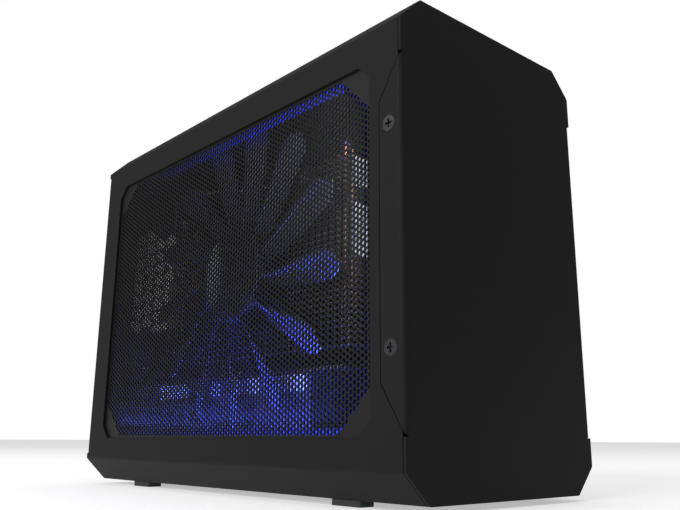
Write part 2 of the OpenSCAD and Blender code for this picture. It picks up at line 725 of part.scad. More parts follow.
// Chips and power parts on the card
fan_y = -fan_forward;
fan_z = middle_z + fan_rise;
fin_y1 = fan_y + fin_l / 2 - 2;
fin_y0 = fin_y1 - fin_l;
fin_x0 = arm_back + boss_h;
cold_x1 = card_x - chip_t;
cold_x0 = cold_x1 - cold_plate_t;
chip_z = card_z0 + 28;
chip_size = 40;
module processor_chip() color([0.1, 0.25, 0.15]) {
    block([card_x - 1, fan_y - chip_size / 2, chip_z - chip_size / 2],
        [card_x, fan_y + chip_size / 2, chip_z + chip_size / 2]);
    block([cold_x1, fan_y - 10, chip_z - 10], [card_x - 1 + join, fan_y + 10, chip_z + 10]);
}
memory_size = [1.2, 12, 12];
memory_pitch = 14.6;
memory_off = [30, 2];
module memory_chips() color([0.07, 0.07, 0.07])
    for (s = [-1, 1], k = [-1.5:1:1.5])
        translate([card_x - memory_size.x, fan_y + s * memory_off[0] - memory_size.y / 2,
                chip_z + memory_off[1] + k * memory_pitch - memory_size.z / 2]) cube(memory_size);
supply_parts = 6;
supply_pitch = (card_h - 20) / supply_parts;
module power_chokes() color([0.3, 0.3, 0.32])
    for (k = [0:supply_parts - 1]) translate([card_x, fin_y0 + 7, card_z0 + 12 + k * supply_pitch]) rotate([90, 0, -90])
        linear_extrude(5.5) polygon(rounded(box_2d(8, 8), 1, 3));
module board_capacitors() color([0.55, 0.56, 0.6])
    for (k = [0:supply_parts - 1]) translate([card_x, fin_y0 - 4, card_z0 + 10 + k * supply_pitch]) rotate([0, -90, 0]) {
        cylinder(d = 6.6, h = 1);
        cylinder(d = 6.2, h = 8);
    }

// The cooler: cold plate, fins and heat pipes
fin_drop = 9;
fin_z0 = card_z0 - fin_drop;
fin_z1 = fin_z0 + fin_stack_h;
spine_t = 2.5;
fin_count = floor((fin_stack_h - fin_t) / fin_pitch) + 1;
pipe_gap = 9;
pipe_run_z = fin_z1 + 12.5;
pipe_leg_in = 8;
pipe_play = 0.1;
pipe_down_x = cold_x0 - pipe_d / 2 - pipe_play;
// Each pipe rises through one end of the fins, runs over them and goes down to the cold plate
pipe_routes = [for (s = [-1, 1], k = [0, 1])
    let (leg_y = (s < 0 ? fin_y0 + pipe_leg_in : fin_y1 - pipe_leg_in) - s * k * 2 * pipe_gap,
        down_y = fan_y + s * (30 - 15 * k), x = fin_x0 + 6 + k * pipe_gap)
    [[x, leg_y, fin_z0 + 2], [x, leg_y, pipe_run_z], [pipe_down_x, down_y, pipe_run_z],
        [pipe_down_x, down_y, chip_z - 16]]];
module cold_plate() color([0.75, 0.45, 0.3])
    block([cold_x0, fan_y - 36, chip_z - 22], [cold_x1, fan_y + 36, chip_z + 22]);
module fin_stack() color(alu) difference() {
    union() {
        for (i = [0:fin_count - 1])
            block([fin_x0, fin_y0, fin_z0 + i * fin_pitch],
                [cold_x0 - spine_t, fin_y1, fin_z0 + i * fin_pitch + fin_t]);
        for (y = [fin_y0, fin_y1 - spine_t])
            block([cold_x0 - 2 * spine_t, y, fin_z0], [cold_x0 - spine_t, y + spine_t, fin_z1]);
    }
    for (p = pipe_routes, i = [0, 2]) translate([p[i].x, p[i].y, p[i == 0 ? 0 : 3].z - 1])
        cylinder(d = pipe_d + 2 * pipe_play, h = fin_stack_h);
}
pipe_sides = 12;
module heat_pipes() color([0.8, 0.45, 0.28]) for (p = pipe_routes)
    tube(bent(p, pipe_bend, 5), pipe_d, pipe_sides);

// The card fan: an arm cross carries the motor, and the rotor turns in front of it
arm_reach = fan_d / 2 - 15;
arm_angles = [38, 142, 218, 322];
module at_fan() translate([0, fan_y, fan_z]) children();
module fan_frame() color(plastic_black) at_fan() difference() {
    union() {
        along_x(arm_x, arm_back) difference() {
            union() {
                circle(r = fan_hub_d / 2 - 1);
                for (a = arm_angles) rotate(a) translate([0, -3.5]) square([arm_reach, 7]);
                for (a = arm_angles) rotate(a) translate([arm_reach, 0]) circle(r = 5);
            }
            for (a = arm_angles) rotate(a) translate([24, -1.5]) square([16, 3]);
        }
        for (a = arm_angles) rotate([a, 0, 0]) translate([arm_back - join, arm_reach, 0])
            rotate([0, 90, 0]) cylinder(r = 4, h = boss_h + join);
    }
    for (a = arm_angles) rotate([a, 0, 0]) translate([arm_x - 1, arm_reach, 0])
        rotate([0, 90, 0]) cylinder(d = 2.6, h = 10);
    translate([arm_x - 1, 0, 0]) rotate([0, 90, 0]) cylinder(d = bearing_d + 2 * fit_gap, h = 10);
}
bearing_d = 8;
motor_d = 27;
motor_x0 = rotor_x0 + 1.8;
// Wound poles round a bearing tube that stands on the frame
module fan_motor() color([0.55, 0.35, 0.2]) at_fan() difference() {
    union() {
        along_x(motor_x0 + 1, arm_x - 0.6) for (a = [0:90:270]) rotate(a) difference() {
            translate([0, -4]) square([motor_d / 2, 8]);
            circle(d = bearing_d - 1);
        }
        translate([motor_x0, 0, 0]) rotate([0, 90, 0]) cylinder(d = bearing_d, h = arm_back - motor_x0);
        translate([arm_x - 0.6, 0, 0]) rotate([0, 90, 0]) cylinder(d = motor_d - 6, h = 0.6);
    }
    translate([motor_x0 - 1, 0, 0]) rotate([0, 90, 0]) cylinder(r = shaft_d / 2 + shaft_gap, h = 20);
}
// One blade is lofted from the hub to its swept, pointed tip
blade_rings = 8;
blade_steps = 4;
blade_r0 = fan_hub_d / 2 - 0.8;
blade_r1 = fan_d / 2;
// Half width of the blade across its chord at share s of its span
function chord(s) = (4.2 + 8.8 * s) * (1 - pow(s, 12)) + 1.2;
// Angle of the blade against the plane of the fan
function pitch(s) = asin(min(0.95, (fan_depth - blade_t - 0.2) / chord(s))) * (1 - 0.35 * s);
function sweep(s) = 12 * (1 - s) * (1 - s) - 6;
function blade_point(s, c, side) =
    let (r = blade_r0 + (blade_r1 - blade_r0) * (s - 0.012 * (c * c) * s),
        x = c * chord(s) * sin(pitch(s)) / 2 + side * blade_t / 2,
        a = sweep(s) + c * chord(s) * cos(pitch(s)) / 2 / r * 180 / PI)
    [x, r * cos(a), r * sin(a)];
blade_w = blade_steps + 1;
blade_n = (blade_rings + 1) * blade_w;
blade_points = [for (side = [1, -1], i = [0:blade_rings], j = [0:blade_steps])
    blade_point(i / blade_rings, 2 * j / blade_steps - 1, side)];
blade_faces = [
    for (i = [0:blade_rings - 1], j = [0:blade_steps - 1])
        each quad(i * blade_w + j, i * blade_w + j + 1, (i + 1) * blade_w + j + 1, (i + 1) * blade_w + j),
    for (i = [0:blade_rings - 1], j = [0:blade_steps - 1])
        each quad(blade_n + i * blade_w + j, blade_n + (i + 1) * blade_w + j,
            blade_n + (i + 1) * blade_w + j + 1, blade_n + i * blade_w + j + 1),
    for (i = [0:blade_rings - 1])
        each quad(i * blade_w, (i + 1) * blade_w, blade_n + (i + 1) * blade_w, blade_n + i * blade_w),
    for (i = [0:blade_rings - 1])
        each quad(i * blade_w + blade_steps, blade_n + i * blade_w + blade_steps,
            blade_n + (i + 1) * blade_w + blade_steps, (i + 1) * blade_w + blade_steps),
    for (j = [0:blade_steps - 1])
        each quad(j, blade_n + j, blade_n + j + 1, j + 1),
    for (j = [0:blade_steps - 1])
        each quad(blade_rings * blade_w + j, blade_rings * blade_w + j + 1,
            blade_n + blade_rings * blade_w + j + 1, blade_n + blade_rings * blade_w + j)];
hub_wall = 1.6;
first_blade = -141.6;
module fan_rotor() color([0.1, 0.13, 0.3]) at_fan() {
    difference() {
        translate([rotor_x0, 0, 0]) rotate([0, 90, 0]) rotate_extrude() polygon([[0, 0],
            [fan_hub_d / 2 - 1.5, 0], [fan_hub_d / 2, 1.5], [fan_hub_d / 2, fan_depth],
            [fan_hub_d / 2 - hub_wall, fan_depth], [fan_hub_d / 2 - hub_wall, hub_wall], [0, hub_wall]]);
        translate([rotor_x0 - 1, 0, 0]) rotate([0, 90, 0]) cylinder(d = shaft_d, h = 10);
    }
    for (i = [0:fan_blades - 1]) rotate([i * 360 / fan_blades + first_blade, 0, 0])
        translate([(rotor_x0 + rotor_x1) / 2, 0, 0]) polyhedron(blade_points, blade_faces);
}
module fan_shaft() color(steel) at_fan()
    translate([rotor_x0 + 0.3, 0, 0]) rotate([0, 90, 0]) cylinder(d = shaft_d, h = arm_back - rotor_x0 - 0.4);
module fan_screws() color(steel) at_fan() for (a = arm_angles) rotate([a, 0, 0])
    translate([arm_x - 1, arm_reach, 0]) rotate([0, 90, 0]) {
        cylinder(d = 4.6, h = 1);
        cylinder(d = 2.4, h = arm_t + boss_h + 1);
    }

// The supplementary power socket on the card's top edge, its plug and lead
socket_y = card_y0 + 16;
socket_l = 19;
socket_d = 11;
plug_h = 4;
module power_socket() color(plastic_black) difference() {
    block([card_x - socket_d, socket_y - socket_l / 2, card_z1 - 12], [card_x, socket_y + socket_l / 2, card_z1 - 1]);
    for (i = [0:3], k = [0, 1]) translate([card_x - 9.6 + k * 4.6, socket_y - 8 + i * 4.1, card_z1 - 8])
        cube([3.6, 3.6, 8]);
}
module power_plug() color(plastic_black)
    block([card_x - socket_d, socket_y - socket_l / 2, card_z1 - 0.8],
        [card_x - 1, socket_y + socket_l / 2, card_z1 - 1 + plug_h]);
// The wires of the lead rise past the card's front end, from the supply to the plug
lead_d = 2.2;
lead_bend = 6;
lead_play = 0.45;
lead_x = card_x - 9.4;
lead_y = card_y0 - 12;
lead_z = psu_z0 + 14;
function lead_route(i) = [[psu_x0 + 12 + 3 * i, psu_y0 + 1, lead_z], [psu_x0 + 12 + 3 * i, lead_y, lead_z],
    [lead_x + 2.6 * i, lead_y, psu_top + 20], [lead_x + 2.6 * i, lead_y, card_z1 - 6],
    [lead_x + 2.6 * i, socket_y - socket_l / 2 - lead_play, card_z1 + 1.2]];
module power_lead() color([0.05, 0.05, 0.05]) for (i = [0:3]) tube(bent(lead_route(i), lead_bend, 3), lead_d, 8);

// The upright main board, its heatsink and its link to the riser board
module main_board() color(board_black) difference() {
    block([main_x, main_y0, main_z0], [main_x + board_t, main_y1, main_z1]);
    at_wall_posts() cylinder(d = 3.2, h = 8);
}
sink_size = [12, 42, 42];
sink_base = 3;
sink_fins = 9;
sink_fin_t = 1.6;
sink_y0 = main_y0 + 20;
sink_z0 = main_z0 + 26;
module controller_heatsink() color(alu) {
    block([main_x - sink_base, sink_y0, sink_z0], [main_x, sink_y0 + sink_size.y, sink_z0 + sink_size.z]);
    for (i = [0:sink_fins - 1]) translate([0, 0, sink_z0 + i * (sink_size.z - sink_fin_t) / (sink_fins - 1)])
        block([main_x - sink_size.x, sink_y0, 0], [main_x - sink_base + join, sink_y0 + sink_size.y, sink_fin_t]);
}
link_l = 60;
module link_connector() color(plastic_black)
    along_y(main_y0 + 10, main_y0 + 10 + link_l) polygon([[main_x - 9, riser_top], [main_x - 1.2, riser_top],
        [main_x - 1.2, main_z0], [main_x, main_z0], [main_x, main_z0 + 9], [main_x - 4, main_z0 + 9],
        [main_x - 9, riser_top + 6]]);

// Ports at the rear edge of the main board
port_w = 6.8;
port_l = 14.4;
port_x = main_x - port_w / 2;
type_c_w = 3.2;
type_c_l = 9;
first_port_z = main_z0 + 10;
port_count = floor((main_z1 - main_z0 - 20) / port_pitch);
type_c_z = first_port_z + port_count * port_pitch + 1;
function port_heights() = [for (i = [0:port_count - 1]) first_port_z + i * port_pitch];
module usb_ports() color([0.8, 0.8, 0.82]) for (z = port_heights()) difference() {
    block([port_x - port_w / 2, rear_in - 14, z - port_l / 2], [port_x + port_w / 2, rear_out, z + port_l / 2]);
    block([port_x - port_w / 2 + 0.4, rear_in - 13.4, z - port_l / 2 + 0.4],
        [port_x + port_w / 2 - 0.4, rear_out + 1, z + port_l / 2 - 0.4]);
}
module usb_tongues() color([0.1, 0.25, 0.7]) for (z = port_heights())
    block([port_x + 0.6, rear_in - 13.4, z - 6], [port_x + 2.4, rear_out - 1.5, z + 6]);
module type_c_port() color([0.75, 0.75, 0.77]) {
    difference() {
        along_y(rear_in - 8, rear_out) translate([port_x, type_c_z])
            polygon(rounded(box_2d(type_c_w, type_c_l), 1.5, 5));
        along_y(rear_in - 7.4, rear_out + 1) translate([port_x, type_c_z])
            polygon(rounded(box_2d(type_c_w - 0.6, type_c_l - 0.6), 1.2, 5));
    }
    block([port_x - 0.35, rear_in - 7.6, type_c_z - 3.3], [port_x + 0.35, rear_out - 1, type_c_z + 3.3]);
    block([port_x + type_c_w / 2 - join, rear_in - 8, type_c_z - 3], [main_x, rear_in - 3, type_c_z + 3]);
}

// The power supply: a deep case, a lid with skirts and what lies inside
skirt_z = psu_top - skirt_h;
skin = psu_t + 0.1;
psu_in_x0 = psu_x0 + skin + psu_t;
psu_in_x1 = psu_x1 - skin - psu_t;
// The fan takes the width that the inlet leaves, or the height inside
small_fan = min(psu_in_x1 - psu_in_x0 - inlet_w - small_fan_room, psu_h - 2.5);
psu_vent_pitch = 10;
psu_vent_l = 7.6;
psu_vent_h = 4.6;
module psu_vents(rows) {
    for (r = rows, i = [0:6])
        translate([psu_y1 - 9 - i * psu_vent_pitch, skirt_z + (r == 0 ? -4 : 4)])
            polygon(rounded(box_2d(psu_vent_l, psu_vent_h), 2, 4));
}
module psu_case() color([0.3, 0.3, 0.32]) difference() {
    block([psu_x0 + skin, psu_y0, psu_z0], [psu_x1 - skin, psu_y1, psu_top - skin]);
    block([psu_in_x0, psu_y0 + psu_t, psu_floor], [psu_in_x1, psu_y1 - psu_t, psu_top + 1]);
    along_x(psu_x0 - 1, psu_x0 + 3) psu_vents([0, 1]);
    // mains inlet and fan openings in the rear wall
    along_y(psu_y1 - 2, psu_y1 + 1) {
        translate([inlet_x, inlet_z]) polygon(box_2d(inlet_w, inlet_h));
        translate([small_fan_x, small_fan_z]) circle(d = small_fan - 3);
    }
    // the way out for the leads
    translate([psu_x0 + 15, psu_y0 - 1, psu_z0 + 12]) block([-9, 0, -4], [12, 4, 4]);
}
module psu_lid() color([0.3, 0.3, 0.32]) difference() {
    along_y(psu_y0, psu_y1) polygon([[psu_x0, skirt_z], [psu_x0 + psu_t, skirt_z], [psu_x0 + psu_t, psu_top - psu_t],
        [psu_x1 - psu_t, psu_top - psu_t], [psu_x1 - psu_t, skirt_z], [psu_x1, skirt_z],
        [psu_x1, psu_top], [psu_x0, psu_top]]);
    along_x(psu_x0 - 1, psu_x0 + psu_t + join) psu_vents([1]);
}
psu_floor = psu_z0 + psu_t;
psu_board_z = psu_floor + 3;
psu_parts_z = psu_board_z + board_t;
psu_board_y1 = psu_y1 - psu_t - small_fan_depth - 8;
module psu_board() color([0.75, 0.6, 0.3]) {
    block([psu_in_x0 + 2, psu_y0 + psu_t + 2, psu_board_z], [psu_in_x1 - 2, psu_board_y1, psu_parts_z]);
    for (x = [psu_in_x0 + 6, psu_in_x1 - 6], y = [psu_y0 + 8, psu_board_y1 - 6])
        translate([x, y, psu_floor]) cylinder(d = 5, h = psu_board_z - psu_floor + join);
}
module psu_transformer() color([0.85, 0.8, 0.55]) {
    x = (psu_in_x0 + psu_in_x1) / 2;
    block([x - 12, psu_y0 + 40, psu_parts_z], [x + 12, psu_y0 + 68, psu_parts_z + 24]);
    block([x - 9, psu_y0 + 36, psu_parts_z + 4], [x + 9, psu_y0 + 72, psu_parts_z + 20]);
}
// Wound coils near the vents
coil_x = psu_in_x0 + 12;
module psu_coils() color([0.8, 0.5, 0.25])
    for (y = [psu_board_y1 - 16, psu_board_y1 - 38]) translate([coil_x, y, psu_parts_z + 12]) {
        rotate([90, 0, 0]) rotate_extrude() translate([6.4, 0]) circle(d = 8);
        for (s = [-1, 1]) translate([s * 6, 0, -12]) cylinder(d = 1.4, h = 10);
    }
module psu_capacitors() color([0.15, 0.15, 0.2]) {
    for (i = [0:1]) translate([psu_in_x1 - 12.5, psu_board_y1 - 13 - 24 * i, psu_parts_z]) cylinder(d = 20, h = 29);
    for (i = [0:4]) translate([psu_in_x0 + 14 + 8 * i, psu_y0 + 20, psu_parts_z]) cylinder(d = 7, h = 16);
}

// The power supply's fan stands behind the rear wall
small_fan_x = psu_in_x0 + 1 + small_fan / 2;
small_fan_z = psu_floor + 0.2 + small_fan / 2;
small_fan_y1 = psu_y1 - psu_t - 0.1;
small_fan_y0 = small_fan_y1 - small_fan_depth;
small_hub_d = 16;
small_shaft_d = 2;
module psu_fan_frame() color(plastic_black) translate([small_fan_x, 0, small_fan_z]) {
    along_y(small_fan_y0, small_fan_y1) difference() {
        polygon(rounded(box_2d(small_fan, small_fan), 2.5, 4));
        circle(d = small_fan - 2.4);
    }
    along_y(small_fan_y0, small_fan_y0 + 2) difference() {
        union() {
            circle(d = small_hub_d);
            for (a = [30:120:270]) rotate(a) translate([0, -1.2]) square([small_fan / 2 - 0.6, 2.4]);
        }
        circle(r = small_shaft_d / 2 + shaft_gap);
    }
}
module psu_fan_rotor() color(plastic_black) translate([small_fan_x, 0, small_fan_z]) {
    y0 = small_fan_y0 + 2.6;
    y1 = small_fan_y1 - 1.2;
    along_y(y0, y1) difference() {
        circle(d = small_hub_d);
        circle(r = small_shaft_d / 2);
    }
    along_y(small_fan_y0 + 0.2, y1) circle(d = small_shaft_d);
    intersection() {
        along_y(y0, y1) difference() {
            circle(d = small_fan - 4);
            circle(d = small_hub_d - 1);
        }
        for (i = [0:6]) rotate([0, i * 360 / 7, 0]) translate([small_fan / 4 + small_hub_d / 4, (y0 + y1) / 2, 0])
            rotate([40, 0, 0]) cube([small_fan / 2, 60, 1.2], center = true);
    }
}
// Rings and spokes over the fan's opening
guard_d = 1.2;
guard_rings = 3;
guard_pitch = small_fan / 3.8;
module psu_fan_guard() color(steel) translate([small_fan_x, 0, small_fan_z])
    along_y(psu_y1, rear_in + sheet_t) {
        for (k = [1:guard_rings]) difference() {
            circle(d = k * guard_pitch + guard_d);
            circle(d = k * guard_pitch - guard_d);
        }
        for (a = [45:90:315]) rotate(a) translate([guard_pitch / 2, -guard_d / 2]) square([small_fan / 2 - 3, guard_d]);
    }

// The mains inlet: a shell with cut upper corners and three flat pins
inlet_in = 1.4;
inlet_rim = 0.9;
inlet_x = psu_in_x1 - inlet_in - inlet_w / 2;
inlet_z = psu_floor + psu_h / 2;
inlet_d = 18;
module ac_inlet() color(plastic_black) {
    front = rear_out;
    difference() {
        union() {
            along_y(psu_y1 - inlet_d, front) translate([inlet_x, inlet_z])
                polygon(box_2d(inlet_w - 0.4, inlet_h - 0.4));
            along_y(psu_y1 + 0.05, front) translate([inlet_x, inlet_z])
                polygon(rounded(box_2d(inlet_w + 2 * inlet_rim, inlet_h + 2 * inlet_rim), 1.5, 4));
        }
        along_y(front - 16, front + 1) translate([inlet_x, inlet_z])
            polygon([[-12, -8], [12, -8], [12, 4], [8, 8], [-8, 8], [-12, 4]]);
    }
}
module inlet_pins() color(steel) for (p = [[-7, -2], [0, 2], [7, -2]])
    translate([inlet_x + p.x, 0, inlet_z + p.y])
        block([-1, rear_out - 16, -2], [1, rear_out - 5, 2]);

front_cover();
wrap_cover();
base_tray();
rear_panel();
front_frame();
window_mesh();
light_guide();
led_strip();
feet();
tab_screws();
rear_screws();
base_screws();
chassis();
gpu_board();
gpu_backplate();
gpu_bracket();
bracket_screws();
processor_chip();
memory_chips();
power_chokes();
board_capacitors();
cold_plate();
fin_stack();
heat_pipes();
fan_frame();
fan_motor();
fan_rotor();
fan_shaft();
fan_screws();
dvi_port();
display_ports();
power_socket();
power_plug();
power_lead();
riser_board();
pcie_slot();
slot_latch();
main_board();
board_standoffs();
controller_heatsink();
link_connector();
usb_ports();
usb_tongues();
type_c_port();
psu_case();
psu_lid();
psu_board();
psu_transformer();
psu_coils();
psu_capacitors();
psu_fan_frame();
psu_fan_rotor();
psu_fan_guard();
ac_inlet();
inlet_pins();
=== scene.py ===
# %% [markdown]
# # An external graphics card enclosure
# The real object is a folded steel box, powder coated black, with a perforated window in its left side.
# Behind the window a large fan, a stack of cooling fins and a power supply show, lit blue from the window's
# edge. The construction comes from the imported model. This lesson adds the finishes, the fine perforation,
# the smooth round pieces and the light.

# %% Load the fixed frame
import math

import bpy
import numpy as np
from mathutils import Matrix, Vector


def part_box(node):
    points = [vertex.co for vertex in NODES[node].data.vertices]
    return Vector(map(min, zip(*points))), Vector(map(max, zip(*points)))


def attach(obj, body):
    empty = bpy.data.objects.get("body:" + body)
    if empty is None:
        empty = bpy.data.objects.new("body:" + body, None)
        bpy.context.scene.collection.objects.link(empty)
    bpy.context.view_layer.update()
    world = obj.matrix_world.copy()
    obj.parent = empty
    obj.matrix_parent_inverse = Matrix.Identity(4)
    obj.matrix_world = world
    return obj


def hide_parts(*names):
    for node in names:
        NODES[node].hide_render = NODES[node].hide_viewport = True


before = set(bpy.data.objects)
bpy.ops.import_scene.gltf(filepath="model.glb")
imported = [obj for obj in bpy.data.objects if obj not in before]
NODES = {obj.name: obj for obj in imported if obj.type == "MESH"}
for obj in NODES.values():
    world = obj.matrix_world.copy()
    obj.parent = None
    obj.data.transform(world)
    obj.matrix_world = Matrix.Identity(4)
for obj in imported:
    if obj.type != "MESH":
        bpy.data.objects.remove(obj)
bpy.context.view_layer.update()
MM = 0.001
print("nodes in the frame:", len(NODES))

# %% [markdown]
# ## The camera
# The photograph was taken from low down and close by, from the front left corner, looking up a little. The
# place, direction and focal length below come from matching the twelve outer corners of the case. The small
# shift comes from the same match: the middle of the lens's view lies a little off the middle of the
# picture.

# %% Place the camera
CAMERA_PLACE = np.array([-0.21013, -0.26319, 0.02066])
CAMERA_RIGHT = np.array([0.74503, -0.66702, 0.00434])
CAMERA_UP = np.array([-0.16668, -0.17986, 0.96947])
CAMERA_AHEAD = np.array([0.64587, 0.72301, 0.24518])
FOCAL_PIXELS = 772.92
PRINCIPAL_POINT = (349.38, 244.12)
PICTURE = (680, 510)
SENSOR_MM = 36.0
NEAREST_SEEN = 0.01


def make_camera():
    """Camera whose axes are the columns of a rotation matrix: right, up and backwards."""
    data = bpy.data.cameras.new("camera")
    data.sensor_width = SENSOR_MM
    data.lens = FOCAL_PIXELS / PICTURE[0] * SENSOR_MM
    data.shift_x = (PICTURE[0] / 2 - PRINCIPAL_POINT[0]) / PICTURE[0]
    data.shift_y = (PRINCIPAL_POINT[1] - PICTURE[1] / 2) / PICTURE[0]
    data.clip_start = NEAREST_SEEN
    matrix = np.eye(4)
    matrix[:3, 0] = CAMERA_RIGHT
    matrix[:3, 1] = CAMERA_UP
    matrix[:3, 2] = -CAMERA_AHEAD
    matrix[:3, 3] = CAMERA_PLACE
    camera = bpy.data.objects.new("camera", data)
    bpy.context.scene.collection.objects.link(camera)
    camera.matrix_world = Matrix(matrix.tolist())
    bpy.context.scene.camera = camera
    return camera


camera = make_camera()
print("lens in mm:", round(camera.data.lens, 2))

# %% [markdown]
# ## Building meshes from arrays
# Every new piece is worked out as whole arrays of points and faces. One helper turns them into an object.
# Its place is in its mesh, so the object itself stays at the origin.


# %% Mesh helper
def make_piece(name, points, faces, smooth=False):
    """Object from an (n, 3) array of points in metres and lists or an array of faces."""
    mesh = bpy.data.meshes.new(name)
    mesh.from_pydata(np.asarray(points, float).tolist(), [], [list(map(int, f)) for f in faces])
    mesh.update()
    mesh.polygons.foreach_set("use_smooth", [smooth] * len(mesh.polygons))
    piece = bpy.data.objects.new(name, mesh)
    bpy.context.scene.collection.objects.link(piece)
    return piece


def grid_faces(rows, cols, close_rows=False, close_cols=False):
    """Quads of a grid of rows by cols points, counted row by row, optionally closed round either way."""
    i = np.arange(rows if close_rows else rows - 1)[:, None]
    j = np.arange(cols if close_cols else cols - 1)[None, :]
    a = i * cols + j
    b = i * cols + (j + 1) % cols
    c = ((i + 1) % rows) * cols + (j + 1) % cols
    d = ((i + 1) % rows) * cols + j
    return np.stack(np.broadcast_arrays(a, b, c, d), -1).reshape(-1, 4)


# %% [markdown]
# ## Finishes
# A real surface is never one flat colour. Each finish here is a small node tree: a base colour that varies
# a little through a noise pattern, a roughness of its own, and a bump at the size of the real texture. All
# patterns read the Object coordinates, so they stay on the piece when it moves.


# %% An empty material
def new_material(name):
    """Empty node material, with its tree, its shader and the Object coordinates."""
    mat = bpy.data.materials.new(name)
    mat.use_nodes = True
    tree = mat.node_tree
    shader = tree.nodes["Principled BSDF"]
    coords = tree.nodes.new("ShaderNodeTexCoord")
    return mat, tree, shader, coords.outputs["Object"]


# %% Noise, tint and bump
def noise(tree, vector, scale, detail=3.0, stretch=None):
    """Noise pattern of the given scale per metre, optionally stretched along the axes."""
    if stretch is not None:
        mapping = tree.nodes.new("ShaderNodeMapping")
        mapping.inputs["Scale"].default_value = stretch
        tree.links.new(vector, mapping.inputs["Vector"])
        vector = mapping.outputs["Vector"]
    node = tree.nodes.new("ShaderNodeTexNoise")
    node.inputs["Scale"].default_value = scale
    node.inputs["Detail"].default_value = detail
    tree.links.new(vector, node.inputs["Vector"])
    return node.outputs["Fac"]


def tint(tree, factor, dark, light, low=0.3, high=0.7):
    """Colour that runs from dark to light as the factor runs from low to high."""
    ramp = tree.nodes.new("ShaderNodeValToRGB")
    ramp.color_ramp.elements[0].position = low
    ramp.color_ramp.elements[0].color = (*dark, 1)
    ramp.color_ramp.elements[1].position = high
    ramp.color_ramp.elements[1].color = (*light, 1)
    tree.links.new(factor, ramp.inputs["Fac"])
    return ramp.outputs["Color"]


def bump(tree, shader, height, strength, distance):
    """Bump of the given height pattern on the shader, with its depth in metres."""
    node = tree.nodes.new("ShaderNodeBump")
    node.inputs["Strength"].default_value = strength
    node.inputs["Distance"].default_value = distance
    tree.links.new(height, node.inputs["Height"])
    tree.links.new(node.outputs["Normal"], shader.inputs["Normal"])


# %% One finish for coated, moulded and metal surfaces
GRAIN_DEPTH = 0.00003


def finish(name, base, rough, metallic=0.0, vary=0.15, patch=60.0, grain=2500.0, strength=0.3, stretch=None,
           specular=0.5):
    """A coated, moulded or metal surface: patchy colour, its own roughness and a fine bump."""
    mat, tree, shader, place = new_material(name)
    dark = [c * (1 - vary) for c in base]
    light = [c * (1 + vary) for c in base]
    patches = noise(tree, place, patch, stretch=stretch)
    tree.links.new(tint(tree, patches, dark, light), shader.inputs["Base Color"])
    shader.inputs["Roughness"].default_value = rough
    shader.inputs["Metallic"].default_value = metallic
    shader.inputs["Specular IOR Level"].default_value = specular
    bump(tree, shader, noise(tree, place, grain, 2.0, stretch), strength, GRAIN_DEPTH)
    return mat


def dress(mat, *names):
    """Gives a finish to CAD nodes by name."""
    for name in names:
        mesh = NODES[name].data
        mesh.materials.clear()
        mesh.materials.append(mat)


# %% [markdown]
# ## Powder coat
# The case has a fine, dry powder coat. Seen close, it is a sheet of grains about a third of a millimetre
# across. Its sheen is soft, so it is rough, with a low bump that breaks the highlights up into tiny points.


# %% Powder coat for the casing
COAT_BLACK = (0.006, 0.006, 0.0062)
COAT_ROUGH = 0.62
COAT_SHEEN = 0.13
COAT_SPECKLES = 3200.0
COAT_GRAINS = 2600.0
COAT_DEPTH = 0.00006


def powder_coat(name, base, rough):
    """Powder coat: a fine grain in the bump and a slight speckle in the colour."""
    mat, tree, shader, place = new_material(name)
    speckle = noise(tree, place, COAT_SPECKLES, 2.0)
    tree.links.new(tint(tree, speckle, [c * 0.7 for c in base], [c * 1.35 for c in base]),
                   shader.inputs["Base Color"])
    shader.inputs["Roughness"].default_value = rough
    shader.inputs["Specular IOR Level"].default_value = COAT_SHEEN
    bump(tree, shader, noise(tree, place, COAT_GRAINS), 0.35, COAT_DEPTH)
    return mat


casing = powder_coat("powder_coat", COAT_BLACK, COAT_ROUGH)
dress(casing, "front_cover", "wrap_cover", "base_tray", "rear_panel", "front_frame")
dress(finish("black_zinc", (0.05, 0.05, 0.055), 0.34, metallic=1.0, vary=0.2, patch=400.0),
      "tab_screws", "rear_screws", "base_screws")
dress(finish("foot_rubber", (0.018, 0.018, 0.018), 0.85, grain=1500.0, strength=0.4), "feet")
print("casing roughness:", COAT_ROUGH)

# %% [markdown]
# ## Metals, boards and plastics inside
# The parts behind the window are seen only through small holes, but from the rear some show plainly. Sheet
# metal gets a grain stretched one way, as rolling leaves it, circuit boards a faint pattern of tracks, and
# mouldings a soft grain.


# %% Sheet metal, fins and copper
dress(finish("zinc_plate", (0.52, 0.53, 0.56), 0.34, metallic=1.0, vary=0.12, patch=90.0, grain=1500.0,
             stretch=(1, 6, 1)), "chassis", "gpu_bracket")
dress(finish("nickel_screws", (0.66, 0.65, 0.63), 0.25, metallic=1.0), "bracket_screws", "fan_screws")
dress(finish("supply_steel", (0.10, 0.105, 0.13), 0.6, metallic=0.1, patch=70.0, grain=1200.0,
             stretch=(1, 0.2, 1)), "psu_case", "psu_lid")
dress(finish("fin_aluminium", (0.62, 0.63, 0.66), 0.30, metallic=1.0, vary=0.10, patch=120.0, grain=1500.0,
             stretch=(1, 8, 1)), "fin_stack")
dress(finish("sink_aluminium", (0.42, 0.43, 0.45), 0.36, metallic=1.0), "controller_heatsink")
dress(finish("plate_copper", (0.70, 0.36, 0.22), 0.28, metallic=1.0, vary=0.12, patch=150.0), "cold_plate")
dress(finish("coil_wire", (0.55, 0.27, 0.12), 0.35, metallic=1.0, vary=0.2, patch=900.0),
      "psu_coils", "fan_motor")
dress(finish("shaft_steel", (0.7, 0.7, 0.72), 0.18, metallic=1.0), "fan_shaft")
dress(finish("connector_shell", (0.60, 0.60, 0.62), 0.26, metallic=1.0),
      "dvi_port", "display_ports", "usb_ports", "type_c_port", "psu_fan_guard")
